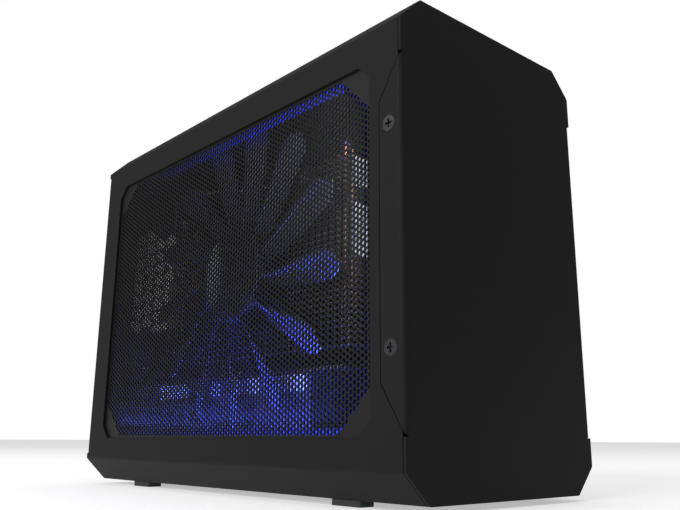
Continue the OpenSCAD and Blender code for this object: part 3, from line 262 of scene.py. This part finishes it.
dress(finish("inlet_brass", (0.66, 0.60, 0.46), 0.28, metallic=1.0), "inlet_pins")
dress(finish("post_brass", (0.66, 0.50, 0.24), 0.3, metallic=1.0), "board_standoffs")
dress(finish("can_aluminium", (0.58, 0.58, 0.6), 0.3, metallic=1.0), "board_capacitors")


# %% Circuit boards and mouldings
TRACK_CELLS = 260.0
TRACK_DEPTH = 0.00005


def circuit_board(name, mask):
    """Solder mask with a faint relief of tracks: the squarish cells of a Voronoi pattern."""
    mat, tree, shader, place = new_material(name)
    cells = tree.nodes.new("ShaderNodeTexVoronoi")
    cells.distance = "CHEBYCHEV"
    cells.inputs["Scale"].default_value = TRACK_CELLS
    tree.links.new(place, cells.inputs["Vector"])
    light = [c * 1.8 + 0.004 for c in mask]
    tracks = tint(tree, cells.outputs["Distance"], light, mask, 0.1, 0.35)
    tree.links.new(tracks, shader.inputs["Base Color"])
    shader.inputs["Roughness"].default_value = 0.38
    bump(tree, shader, cells.outputs["Distance"], 0.2, TRACK_DEPTH)
    return mat


dress(circuit_board("board_mask", (0.012, 0.016, 0.016)), "gpu_board", "riser_board", "main_board")
dress(circuit_board("supply_laminate", (0.42, 0.30, 0.14)), "psu_board")
dress(circuit_board("chip_laminate", (0.03, 0.09, 0.05)), "processor_chip")
dress(finish("backplate_coat", (0.03, 0.03, 0.034), 0.4, metallic=0.6, vary=0.2, patch=80.0, grain=1800.0,
             stretch=(1, 0.1, 1)), "gpu_backplate")
dress(finish("chip_epoxy", (0.02, 0.02, 0.021), 0.55), "memory_chips")
dress(finish("choke_core", (0.10, 0.10, 0.11), 0.6), "power_chokes")
dress(finish("black_moulding", (0.022, 0.022, 0.024), 0.45, grain=1800.0), "fan_frame", "power_socket",
      "power_plug", "pcie_slot", "link_connector", "psu_fan_frame", "psu_fan_rotor", "ac_inlet")
dress(finish("latch_moulding", (0.42, 0.42, 0.44), 0.5), "slot_latch")
dress(finish("tongue_moulding", (0.02, 0.06, 0.30), 0.5), "usb_tongues")
dress(finish("transformer_tape", (0.66, 0.56, 0.28), 0.5, patch=150.0), "psu_transformer")
dress(finish("capacitor_sleeve", (0.03, 0.03, 0.06), 0.3), "psu_capacitors")
dress(finish("wire_sleeve", (0.015, 0.015, 0.015), 0.5), "power_lead")
print("finished CAD nodes:", sum(1 for o in NODES.values() if o.data.materials))

# %% [markdown]
# ## The perforated sheet
# The window's sheet is punched with hexagonal holes two millimetres apart: more than six thousand of them.
# The sheet is worked out as one flat net: a bar between each two neighbouring holes, a small triangle where
# three bars meet, and then walls along every edge that only one face uses. That gives every hole its wall
# with no special cases.

# %% Sizes of the perforation
HOLE_PITCH = 2.0 * MM
HOLE_ACROSS = 1.46 * MM
FIELD_L, FIELD_H, FIELD_CUT = 180 * MM, 120 * MM, 14 * MM
CELLS_EACH_WAY = 100
# Cells centred up to the first of these outside the field are in the net, and up to the second they are open
NET_UNDER_RIM = 1.6 * MM
HOLES_PAST_EDGE = 0.2 * MM
# The net is this much thinner than the rim on either face
SHEET_INSET = 0.05 * MM
RIM_CUT = 5.5 * MM
mesh_low, mesh_high = (np.array(c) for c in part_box("window_mesh"))
WINDOW_Z = (mesh_low[2] + mesh_high[2]) / 2


# %% The net of bars and joints
def inside_field(points, grow):
    """Which points lie inside the field, grown by a margin.

    |u| and |v| are within half its length and height, and |u| + |v| is within their sum less the cut.
    """
    u, v = np.abs(points[:, 0]), np.abs(points[:, 1])
    half_l, half_h = FIELD_L / 2 + grow, FIELD_H / 2 + grow
    cut = FIELD_CUT + grow * (2 - math.sqrt(2))
    return (u <= half_l) & (v <= half_h) & (u + v <= half_l + half_h - cut)


def perforated_net():
    """Points and faces of the flat net of bars and joints between hexagonal holes.

    Cell (q, r) sits at (q cos 30, r + q/2) times the pitch. Its hole has corners at 0, 60 ... 300 degrees.
    Cells near the rim are solid, and the rim's plate covers them.
    """
    steps = np.arange(-CELLS_EACH_WAY, CELLS_EACH_WAY + 1)
    q, r = np.meshgrid(steps, steps, indexing="ij")
    centres = np.stack([q * math.cos(math.pi / 6), r + q / 2], -1).reshape(-1, 2) * HOLE_PITCH
    keep = inside_field(centres, NET_UNDER_RIM)
    number = np.full(len(centres), -1)
    number[keep] = np.arange(keep.sum())
    number = number.reshape(q.shape)
    corner = np.radians(np.arange(6) * 60)
    ring = HOLE_ACROSS / math.sqrt(3) * np.stack([np.cos(corner), np.sin(corner)], -1)
    points = (centres[keep][:, None, :] + ring[None]).reshape(-1, 2)

    def neighbour(dq, dr):
        """Number of the cell at that offset, or -1."""
        return np.roll(number, (-dq, -dr), (0, 1))

    here, right, up, down = number, neighbour(1, 0), neighbour(0, 1), neighbour(1, -1)
    quads = []
    for other, (a, b, c, d) in ((right, (0, 4, 3, 1)), (up, (1, 5, 4, 2)), (down, (5, 3, 2, 0))):
        both = (here >= 0) & (other >= 0)
        h, o = here[both] * 6, other[both] * 6
        quads.append(np.stack([h + a, o + b, o + c, h + d], -1))
    tris = []
    for one, two, (a, b, c) in ((down, right, (0, 2, 4)), (right, up, (1, 3, 5))):
        three = (here >= 0) & (one >= 0) & (two >= 0)
        tris.append(np.stack([here[three] * 6 + a, one[three] * 6 + b, two[three] * 6 + c], -1))
    solid = ~inside_field(centres[keep], HOLES_PAST_EDGE)
    caps = np.arange(6)[None, :] + 6 * np.nonzero(solid)[0][:, None]
    return points, np.concatenate(quads), np.concatenate(tris), caps


# %% The sheet, its walls worked out from the net's free edges
def edges_used_once(groups):
    """Directed edges of the faces whose reverse is no edge of another face."""
    edges = np.concatenate([np.stack([f, np.roll(f, -1, 1)], -1).reshape(-1, 2) for f in groups])
    size = edges.max() + 1
    forward = edges[:, 0] * size + edges[:, 1]
    backward = edges[:, 1] * size + edges[:, 0]
    return edges[~np.isin(forward, backward)]


def make_perforated_sheet(x_front, x_back):
    """Closed sheet: the net at both depths, the front one turned over, and walls along its free edges."""
    flat, quads, tris, caps = perforated_net()
    rim = edges_used_once([quads, tris, caps])
    n = len(flat)
    front = np.column_stack([np.full(n, x_front), flat[:, 0], flat[:, 1] + WINDOW_Z])
    back = np.column_stack([np.full(n, x_back), flat[:, 0], flat[:, 1] + WINDOW_Z])
    walls = np.column_stack([rim[:, 1] + n, rim[:, 0] + n, rim[:, 0], rim[:, 1]])
    faces = []
    for group in (quads, tris, caps):
        faces += (group + n).tolist() + group[:, ::-1].tolist()
    faces += walls.tolist()
    return make_piece("perforated_sheet", np.concatenate([front, back]), faces)


sheet = make_perforated_sheet(mesh_low[0] + SHEET_INSET, mesh_high[0] - SHEET_INSET)
print("faces of the perforated sheet:", len(sheet.data.polygons))


# %% The rim round the perforated field
def cut_outline(length, height, cut):
    """Eight corners of a rectangle with cut corners, as (y, z) rows."""
    l, h = length / 2, height / 2
    return np.array([[-l + cut, -h], [l - cut, -h], [l, -h + cut], [l, h - cut],
                     [l - cut, h], [-l + cut, h], [-l, h - cut], [-l, -h + cut]])


def make_ring(name, outer, inner, x_front, x_back):
    """Flat ring between two outlines of as many points, as a closed band of four strips."""
    n = len(outer)
    loops = [(inner, x_front), (outer, x_front), (outer, x_back), (inner, x_back)]
    rings = [np.column_stack([np.full(n, x), p[:, 0], p[:, 1] + WINDOW_Z]) for p, x in loops]
    points = np.concatenate(rings)
    return make_piece(name, points, grid_faces(4, n, True, True))


rim = make_ring("window_rim",
                cut_outline(mesh_high[1] - mesh_low[1], mesh_high[2] - mesh_low[2], RIM_CUT),
                cut_outline(FIELD_L, FIELD_H, FIELD_CUT), mesh_low[0], mesh_high[0])
mesh_coat = finish("mesh_coat", (0.007, 0.007, 0.0072), 0.42, vary=0.1, grain=2200.0, specular=0.15)
for piece in (sheet, rim):
    piece.data.materials.append(mesh_coat)
    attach(piece, "enclosure")
    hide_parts("window_mesh")
print("corners of the rim:", len(rim.data.vertices))

# %% [markdown]
# ## The blue light
# Small lamps feed a clear ring behind the sheet, which glows round the window, most along its long edges.
# The ring itself is given a glow. Long narrow blue lamps in it and behind it throw the light on the supply,
# the blades and the top. Two small pale ones, at the hub and in the front bay, stand for what the bright
# metal throws about.


# %% Glow of the light guide and of its strip of lamps
GUIDE_BLUE = (0.03, 0.06, 1.0)
GLOW_LOW, GLOW_HIGH = 0.12, 1.5
# The glow grows between these distances inside the field's long edges
GLOW_STARTS, GLOW_FULL = 3 * MM, 1 * MM
STRIP_BLUE = (0.25, 0.4, 1.0)
STRIP_GLOW = 4.0


def glowing(name, colour, strength):
    """A lit plastic: plain base colour with a glow of its own, a little uneven along its length."""
    mat, tree, shader, place = new_material(name)
    shader.inputs["Base Color"].default_value = (*[c * 0.4 for c in colour], 1)
    shader.inputs["Roughness"].default_value = 0.25
    uneven = tint(tree, noise(tree, place, 45.0, 2.0), [c * 0.6 for c in colour], colour)
    tree.links.new(uneven, shader.inputs["Emission Color"])
    shader.inputs["Emission Strength"].default_value = strength
    return mat


def glow_along_edges(mat, strength_low, strength_high):
    """Makes a glow strong near the window's long edges and weak along its short ones, by height alone."""
    tree = mat.node_tree
    shader = tree.nodes["Principled BSDF"]
    coords = tree.nodes.new("ShaderNodeTexCoord")
    parts = tree.nodes.new("ShaderNodeSeparateXYZ")
    tree.links.new(coords.outputs["Object"], parts.inputs["Vector"])
    offset = tree.nodes.new("ShaderNodeMath")
    offset.operation = "SUBTRACT"
    offset.inputs[1].default_value = WINDOW_Z
    away = tree.nodes.new("ShaderNodeMath")
    away.operation = "ABSOLUTE"
    share = tree.nodes.new("ShaderNodeMapRange")
    share.inputs["From Min"].default_value = FIELD_H / 2 - GLOW_STARTS
    share.inputs["From Max"].default_value = FIELD_H / 2 - GLOW_FULL
    share.inputs["To Min"].default_value = strength_low
    share.inputs["To Max"].default_value = strength_high
    tree.links.new(parts.outputs["Z"], offset.inputs[0])
    tree.links.new(offset.outputs["Value"], away.inputs[0])
    tree.links.new(away.outputs["Value"], share.inputs["Value"])
    tree.links.new(share.outputs["Result"], shader.inputs["Emission Strength"])


guide_glow = glowing("guide_glow", GUIDE_BLUE, 1.0)
glow_along_edges(guide_glow, GLOW_LOW, GLOW_HIGH)
dress(guide_glow, "light_guide")
dress(glowing("lamp_glow", STRIP_BLUE, STRIP_GLOW), "led_strip")
print("glow of the guide, low and high:", GLOW_LOW, GLOW_HIGH)


# %% A soft lamp
def soft_lamp(name, place, aim, size, watts, colour, spread=math.pi):
    """Rectangular lamp at a place in metres that shines towards aim, within the angle of spread."""
    data = bpy.data.lights.new(name, "AREA")
    data.shape = "RECTANGLE"
    data.size, data.size_y = size
    data.energy = watts
    data.color = colour
    data.spread = spread
    lamp = bpy.data.objects.new(name, data)
    bpy.context.scene.collection.objects.link(lamp)
    ahead = np.asarray(aim, float) - np.asarray(place, float)
    ahead /= np.linalg.norm(ahead)
    side = np.cross(ahead, (0, 0, 1.0))
    side /= np.linalg.norm(side)
    up = np.cross(side, ahead)
    matrix = np.eye(4)
    matrix[:3, 0], matrix[:3, 1], matrix[:3, 2], matrix[:3, 3] = side, up, -ahead, place
    lamp.matrix_world = Matrix(matrix.tolist())
    lamp.visible_camera = False
    return lamp


# %% Lamps inside the casing
guide_low, guide_high = (np.array(c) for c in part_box("light_guide"))
LAMP_BLUE = (0.035, 0.075, 1.0)
HUB_PALE = (0.7, 0.78, 1.0)
BAY_PALE = (0.85, 0.9, 1.0)
LAMP_LENGTH = 0.17
BEHIND_GUIDE = guide_high[0] + 0.4 * MM
IN_GUIDE = guide_low[0] + 1.0 * MM
HUB_LAMP_Y, HUB_LAMP_Z = 0.011, 0.088
BAY_LAMP_PLACE, BAY_LAMP_AIM = (-0.030, -0.092, 0.100), (-0.024, 0.0, 0.100)
soft_lamp("lamp_on_supply", (BEHIND_GUIDE, 0.0, guide_low[2] + 2 * MM),
          (BEHIND_GUIDE + 9 * MM, 0.0, guide_low[2] + 16 * MM), (LAMP_LENGTH, 0.003), 0.18, LAMP_BLUE)
soft_lamp("lamp_on_blades", (IN_GUIDE, 0.0, guide_low[2] + 3.8 * MM),
          (IN_GUIDE + 3.5 * MM, 0.0, guide_low[2] + 34 * MM), (LAMP_LENGTH, 0.0015), 0.22, LAMP_BLUE,
          spread=math.radians(80))
soft_lamp("lamp_top", (BEHIND_GUIDE, 0.0, guide_high[2] - 2 * MM),
          (BEHIND_GUIDE + 10 * MM, 0.0, guide_high[2] - 12 * MM), (LAMP_LENGTH, 0.003), 0.007, LAMP_BLUE)
soft_lamp("lamp_on_hub", (IN_GUIDE, HUB_LAMP_Y, HUB_LAMP_Z),
          (IN_GUIDE + 5 * MM, 0.010, 0.0875), (0.007, 0.026), 0.0018, HUB_PALE)
soft_lamp("lamp_front_bay", BAY_LAMP_PLACE, BAY_LAMP_AIM, (0.010, 0.07), 0.022, BAY_PALE)
print("lamps stand at x in mm:", round(BEHIND_GUIDE / MM, 2), round(IN_GUIDE / MM, 2))

# %% [markdown]
# ## The fan
# The card's fan has thirteen narrow swept blades round a flat hub with a rounded edge. Each blade is a
# surface over its span and its chord: the angle against the fan's plane falls towards the tip, the chord
# swells and then closes almost to a point. Two such surfaces, a blade's thickness apart, are joined round
# their rim. The hub is a cup, open towards the motor that sits inside it.

# %% Sizes of the fan
rotor_low, rotor_high = (np.array(c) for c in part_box("fan_rotor"))
FAN_AXIS = (rotor_low + rotor_high) / 2
FAN_RADIUS = (rotor_high[2] - rotor_low[2]) / 2
FAN_DEPTH = 6.2 * MM
HUB_RADIUS = 20.3 * MM
HUB_ROUND = 2.4 * MM
HUB_WALL = 1.6 * MM
HUB_SIDES = 72
BLADE_COUNT = 13
BLADE_THICK = 1.1 * MM
BLADE_SINK = 0.8 * MM
BLADE_ROOM = 0.2 * MM
# Angle of the first blade about the fan's axis
FIRST_BLADE = math.radians(-141.6)
# Millimetres of chord: at the root, gained along the span, and left where the tip closes
CHORD_ROOT, CHORD_GAIN, CHORD_LEFT = 4.2, 8.8, 1.2
TIP_CLOSING = 12
STEEPEST = 0.95
PITCH_LOST = 0.35
# Degrees of sweep between the root and the tip
SWEEP = 12
TIP_ROUND = 0.012
EDGE_THINNING, TIP_THINNING = 0.75, 0.4
print("fan radius in mm:", round(FAN_RADIUS / MM, 2))


# %% The blades
def blade_surface(s, c, side):
    """Point of a blade at share s of its span and place c across it, in depth, radius and angle.

    The chord is (root + gain s)(1 - s^12) + rest. The sine of its pitch is the fan's free depth over the
    chord, and the pitch falls along the span. The sweep goes with (1 - s) squared. Depth is c half chords
    times the pitch's sine, and the angle is the sweep plus c half chords times its cosine over the radius.
    """
    chord = ((CHORD_ROOT + CHORD_GAIN * s) * (1 - s**TIP_CLOSING) + CHORD_LEFT) * MM
    free = FAN_DEPTH - BLADE_THICK - BLADE_ROOM
    pitch = np.arcsin(np.minimum(STEEPEST, free / chord)) * (1 - PITCH_LOST * s)
    sweep = np.radians(SWEEP * (1 - s) ** 2 - SWEEP / 2)
    root = HUB_RADIUS - BLADE_SINK
    radius = root + (FAN_RADIUS - root) * (s - TIP_ROUND * c * c * s)
    thick = BLADE_THICK * (1 - EDGE_THINNING * np.abs(c) ** 3) * (1 - TIP_THINNING * s)
    depth = c * chord * np.sin(pitch) / 2 + side * thick / 2
    angle = sweep + c * chord * np.cos(pitch) / 2 / radius
    return depth, radius, angle


def make_blades():
    """All blades as one piece: for each, a front and a back grid closed round their common rim."""
    spans, chords = 20, 9
    s, c = np.meshgrid(np.linspace(0, 1, spans), np.linspace(-1, 1, chords), indexing="ij")
    points, faces = [], []
    for number in range(BLADE_COUNT):
        start = len(points) * spans * chords
        for side in (1, -1):
            depth, radius, angle = blade_surface(s, c, side)
            angle = angle + FIRST_BLADE + number * 2 * math.pi / BLADE_COUNT
            across, upward = radius * np.cos(angle), radius * np.sin(angle)
            points.append(np.stack([depth, across, upward], -1).reshape(-1, 3))
        sheet_faces = grid_faces(spans, chords)
        faces.append(sheet_faces[:, ::-1] + start)
        faces.append(sheet_faces + start + spans * chords)
        index = np.arange(spans * chords).reshape(spans, chords)
        loop = np.concatenate([index[0, :-1], index[:-1, -1], index[-1, :0:-1], index[:0:-1, 0]])
        after = np.roll(loop, -1)
        faces.append(np.column_stack([loop, after, after + spans * chords, loop + spans * chords]) + start)
    return make_piece("fan_blades", np.concatenate(points) + FAN_AXIS, np.concatenate(faces), smooth=True)


# %% The hub
def make_turned(name, profile, axis_point, turns):
    """Piece turned about an axis along X: a row (d, r) of its profile gives (d, r cos a, r sin a) all round.

    Both ends are closed by flat faces, the first facing back along +X and the last facing front.
    """
    profile = np.asarray(profile, float)
    angle = np.linspace(0, 2 * math.pi, turns, endpoint=False)
    depth = np.repeat(profile[:, 0][:, None], turns, 1)
    ring = profile[:, 1][:, None]
    points = np.stack([depth, ring * np.cos(angle), ring * np.sin(angle)], -1).reshape(-1, 3) + axis_point
    faces = grid_faces(len(profile), turns, False, True)[:, ::-1].tolist()
    faces.append(list(range(turns)))
    faces.append([(len(profile) - 1) * turns + i for i in range(turns)][::-1])
    return make_piece(name, points, faces)


blades = make_blades()
half = FAN_DEPTH / 2
turn = np.linspace(0, math.pi / 2, 9)
edge_depth = -half + HUB_ROUND * (1 - np.sin(turn))
edge_radius = HUB_RADIUS - HUB_ROUND * (1 - np.cos(turn))
cup = [(-half + HUB_WALL, HUB_RADIUS - HUB_WALL), (half, HUB_RADIUS - HUB_WALL), (half, HUB_RADIUS)]
hub = make_turned("fan_hub", cup + np.column_stack([edge_depth, edge_radius]).tolist(), FAN_AXIS, HUB_SIDES)
# The blades are black plastic. Their pale grey-blue base colour is painted blue light, standing in for the
# lamps below the window.
blade_plastic = finish("blade_plastic", (0.14, 0.15, 0.24), 0.38, vary=0.1, grain=1500.0, strength=0.1)
hub_plastic = finish("hub_plastic", (0.07, 0.072, 0.082), 0.3, vary=0.1)
for piece, coat in ((blades, blade_plastic), (hub, hub_plastic)):
    piece.data.materials.append(coat)
    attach(piece, "card_fan")
    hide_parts("fan_rotor")
print("points of the blades and the hub:", len(blades.data.vertices), len(hub.data.vertices))

# %% [markdown]
# ## Heat pipes
# The cooler's copper pipes rise out of the fins, bend over at a constant radius and go down to the cold
# plate. Each is a circle carried along a line with round corners.


# %% Tubes along a line with round corners
def round_corners(route, radius, steps):
    """Line of points whose inner corners become arcs of the radius.

    A corner that turns by t has its arc's centre at radius / cos(t / 2) along the bisector of its two sides,
    and the arc starts at radius times tan(t / 2) from the corner.
    """
    route = np.asarray(route, float)
    line = [route[0]]
    for before, corner, after in zip(route[:-2], route[1:-1], route[2:]):
        u = (before - corner) / np.linalg.norm(before - corner)
        v = (after - corner) / np.linalg.norm(after - corner)
        turn = math.pi - math.acos(float(u @ v))
        middle = (u + v) / np.linalg.norm(u + v)
        centre = corner + middle * radius / math.cos(turn / 2)
        out = corner + u * radius * math.tan(turn / 2) - centre
        out /= np.linalg.norm(out)
        t = np.linspace(0, turn, steps)[:, None]
        line += list(centre + radius * (np.cos(t) * out - np.sin(t) * u))
    line.append(route[-1])
    return np.array(line)


# %% Round tubes
def make_tubes(name, lines, diameter, sides):
    """Round tubes along lines of points: each ring is carried on from the last with the least turn."""
    points, faces, start = [], [], 0
    angle = np.linspace(0, 2 * math.pi, sides, endpoint=False)
    for line in lines:
        ahead = np.gradient(line, axis=0)
        ahead /= np.linalg.norm(ahead, axis=1)[:, None]
        side = np.cross(ahead[0], (0.31, 0.52, 0.79))
        rings = []
        for place, w in zip(line, ahead):
            side = side - (side @ w) * w
            side /= np.linalg.norm(side)
            other = np.cross(w, side)
            circle = np.cos(angle)[:, None] * side + np.sin(angle)[:, None] * other
            rings.append(place + diameter / 2 * circle)
        points.append(np.concatenate(rings))
        faces += (grid_faces(len(line), sides, False, True) + start).tolist()
        faces.append([start + i for i in range(sides)][::-1])
        faces.append([start + (len(line) - 1) * sides + i for i in range(sides)])
        start += len(line) * sides
    return make_piece(name, np.concatenate(points), faces, smooth=True)


# %% The four pipes
fin_low, fin_high = (np.array(c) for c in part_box("fin_stack"))
plate_low = np.array(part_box("cold_plate")[0])
PIPE = 6 * MM
PIPE_SIDES = 20
PIPE_BEND = 9 * MM
BEND_STEPS = 10
PIPE_GAP = 9 * MM
PIPE_RISE = 12.5 * MM
PIPE_CLEARANCE = 0.1 * MM
# The outer pipes' rising legs stand this far inside the fins' ends and their window side
LEG_FROM_END, LEG_FROM_SIDE = 8 * MM, 6 * MM
LEG_FOOT, PLATE_FOOT = 2 * MM, 6 * MM
# Millimetres from the fan's axis to the outer pipes' way down, and in to the next pair's
DOWN_OUT, DOWN_STEP = 30, 15
pipe_top = fin_high[2] + PIPE_RISE
pipe_down_x = plate_low[0] - PIPE / 2 - PIPE_CLEARANCE
pipe_lines = []
for end in (-1, 1):
    for k in (0, 1):
        first_leg = fin_low[1] + LEG_FROM_END if end < 0 else fin_high[1] - LEG_FROM_END
        leg_y = first_leg - end * k * 2 * PIPE_GAP
        down_y = FAN_AXIS[1] + end * (DOWN_OUT - DOWN_STEP * k) * MM
        leg_x = fin_low[0] + LEG_FROM_SIDE + k * PIPE_GAP
        pipe_lines.append(round_corners([
            (leg_x, leg_y, fin_low[2] + LEG_FOOT), (leg_x, leg_y, pipe_top), (pipe_down_x, down_y, pipe_top),
            (pipe_down_x, down_y, plate_low[2] + PLATE_FOOT)], PIPE_BEND, BEND_STEPS))
pipes = make_tubes("copper_pipes", pipe_lines, PIPE, PIPE_SIDES)
pipes.data.materials.append(finish("pipe_copper", (0.78, 0.36, 0.20), 0.24, metallic=1.0, patch=120.0,
                                   strength=0.1))
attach(pipes, "enclosure")
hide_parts("heat_pipes")
print("copper pipes:", len(pipe_lines))

# %% [markdown]
# ## Folded fin ends and lid clips
# Real fins end in folded lips, which close their front like a ribbed wall and catch the light. The supply's
# lid is held by small tinned clips along its upper edge. Each is a thin plate with cut corners: an outline
# of eight points carried through the plate's thickness. The clips' near-white, barely metallic colour is
# partly painted highlight, which makes them bright points along the lid's edge.


# %% Thin plates with cut corners
def make_plates(name, plates, axis, cut):
    """Closed plates: each is a low and a high corner, with its outline across axis and its corners cut."""
    others = [k for k in range(3) if k != axis]
    points, faces = [], []
    for number, (low, high) in enumerate(plates):
        low, high = np.asarray(low, float), np.asarray(high, float)
        (a0, b0), (a1, b1) = low[others], high[others]
        outline = np.array([[a0 + cut, b0], [a1 - cut, b0], [a1, b0 + cut], [a1, b1 - cut],
                            [a1 - cut, b1], [a0 + cut, b1], [a0, b1 - cut], [a0, b0 + cut]])
        for depth in (low[axis], high[axis]):
            ring = np.empty((8, 3))
            ring[:, axis] = depth
            ring[:, others] = outline
            points.append(ring)
        ends = np.array([np.arange(8)[::-1], np.arange(8) + 8])
        sides = grid_faces(2, 8, False, True)
        if axis == 1:
            ends, sides = ends[:, ::-1], sides[:, ::-1]
        faces += (ends + 16 * number).tolist() + (sides + 16 * number).tolist()
    return make_piece(name, np.concatenate(points), faces)


# %% Lips of the fins
LIP_PITCH = 2.0 * MM
LIP_HEIGHT = 1.55 * MM
LIP_THICK = 0.3 * MM
LIP_INSET = 0.3 * MM
LIP_CUT = 0.2 * MM
# Two groups of lips, each from and to these heights, in millimetres against the fins' top
LIP_GROUPS = ((-38.5, -18.5), (-13.0, -0.6))
lips = []
for low, high in LIP_GROUPS:
    for z in fin_high[2] + np.arange(low * MM, high * MM - LIP_HEIGHT, LIP_PITCH):
        lips.append(((fin_low[0] + LIP_INSET, fin_low[1] - LIP_THICK, z),
                     (fin_high[0] - LIP_INSET, fin_low[1], z + LIP_HEIGHT)))
fin_lips = make_plates("fin_lips", lips, 1, LIP_CUT)
fin_lips.data.materials.append(finish("lip_aluminium", (0.72, 0.73, 0.75), 0.32, metallic=0.6, vary=0.1,
                                      patch=120.0, strength=0.15))

# %% Clips on the supply's lid
lid_low, lid_high = (np.array(c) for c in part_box("psu_lid"))
# Ends of each clip's place, in millimetres along the case
CLIPS_Y = ((-45, -22), (-16, 5), (12, 20), (37, 63))
CLIP_LOW, CLIP_HIGH, CLIP_THICK = 7.0 * MM, 1.0 * MM, 0.4 * MM
CLIP_INSET = 0.5 * MM
CLIP_CUT = 0.6 * MM
clips = [((lid_low[0] - CLIP_THICK, start * MM + CLIP_INSET, lid_high[2] - CLIP_LOW),
          (lid_low[0], end * MM - CLIP_INSET, lid_high[2] - CLIP_HIGH)) for start, end in CLIPS_Y]
lid_clips = make_plates("lid_clips", clips, 0, CLIP_CUT)
# Near-white and barely metallic: the clips' colour is partly painted highlight, so they show as bright
# points along the lid's edge.
lid_clips.data.materials.append(finish("tinned_clips_painted_highlight", (0.86, 0.86, 0.88), 0.35, metallic=0.1, vary=0.12,
                                       patch=500.0, strength=0.4))
for piece in (fin_lips, lid_clips):
    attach(piece, "enclosure")
print("lips and clips:", len(lips), len(clips))

# %% [markdown]
# ## Floor and light
# The enclosure stands on a plain pale floor in a plain studio: an even, bright surround, a broad soft light
# from the left that models the window side, and a weaker one above.


# %% Floor
FLOOR_RADIUS = 12.0
FLOOR_SIDES = 96
FLOOR_DROP = 0.00005
FLOOR_GLOW = 0.45


def make_floor():
    """A large flat disc a hair under the feet: (r cos a, r sin a, -drop) all round."""
    angle = np.linspace(0, 2 * math.pi, FLOOR_SIDES, endpoint=False)
    points = np.column_stack([FLOOR_RADIUS * np.cos(angle), FLOOR_RADIUS * np.sin(angle),
                              np.full(FLOOR_SIDES, -FLOOR_DROP)])
    floor = make_piece("floor", points, [list(range(FLOOR_SIDES))])
    mat = finish("pale_floor", (0.86, 0.86, 0.86), 0.7, vary=0.01, patch=3.0, grain=300.0, strength=0.02)
    shader = mat.node_tree.nodes["Principled BSDF"]
    shader.inputs["Emission Color"].default_value = (1, 1, 1, 1)
    shader.inputs["Emission Strength"].default_value = FLOOR_GLOW
    floor.data.materials.append(mat)
    return floor


floor = make_floor()
print("floor radius in m:", FLOOR_RADIUS)


# %% Surround and studio lights
WHITE = (1, 1, 1)
SEEN_WHITE = 1.0
CAST_GREY = 0.30
MIDDLE = (0, 0, 0.08)


def make_surround(seen, cast):
    """World that looks white to the camera and lights the object with an even grey."""
    world = bpy.data.worlds.new("surround")
    world.use_nodes = True
    tree = world.node_tree
    tree.nodes.clear()
    path = tree.nodes.new("ShaderNodeLightPath")
    shown = tree.nodes.new("ShaderNodeBackground")
    shown.inputs["Color"].default_value = (seen, seen, seen, 1)
    light = tree.nodes.new("ShaderNodeBackground")
    light.inputs["Color"].default_value = (cast, cast, cast, 1)
    mix = tree.nodes.new("ShaderNodeMixShader")
    out = tree.nodes.new("ShaderNodeOutputWorld")
    tree.links.new(path.outputs["Is Camera Ray"], mix.inputs["Fac"])
    tree.links.new(light.outputs["Background"], mix.inputs[1])
    tree.links.new(shown.outputs["Background"], mix.inputs[2])
    tree.links.new(mix.outputs["Shader"], out.inputs["Surface"])
    bpy.context.scene.world = world


make_surround(SEEN_WHITE, CAST_GREY)
soft_lamp("left_softbox", (-1.1, 0.1, 0.5), MIDDLE, (1.2, 1.0), 12.0, WHITE)
soft_lamp("top_softbox", (0.2, -0.2, 1.4), MIDDLE, (1.2, 1.2), 5.0, WHITE)
bpy.context.scene.view_settings.view_transform = "Standard"
print("grey cast by the surround:", CAST_GREY)
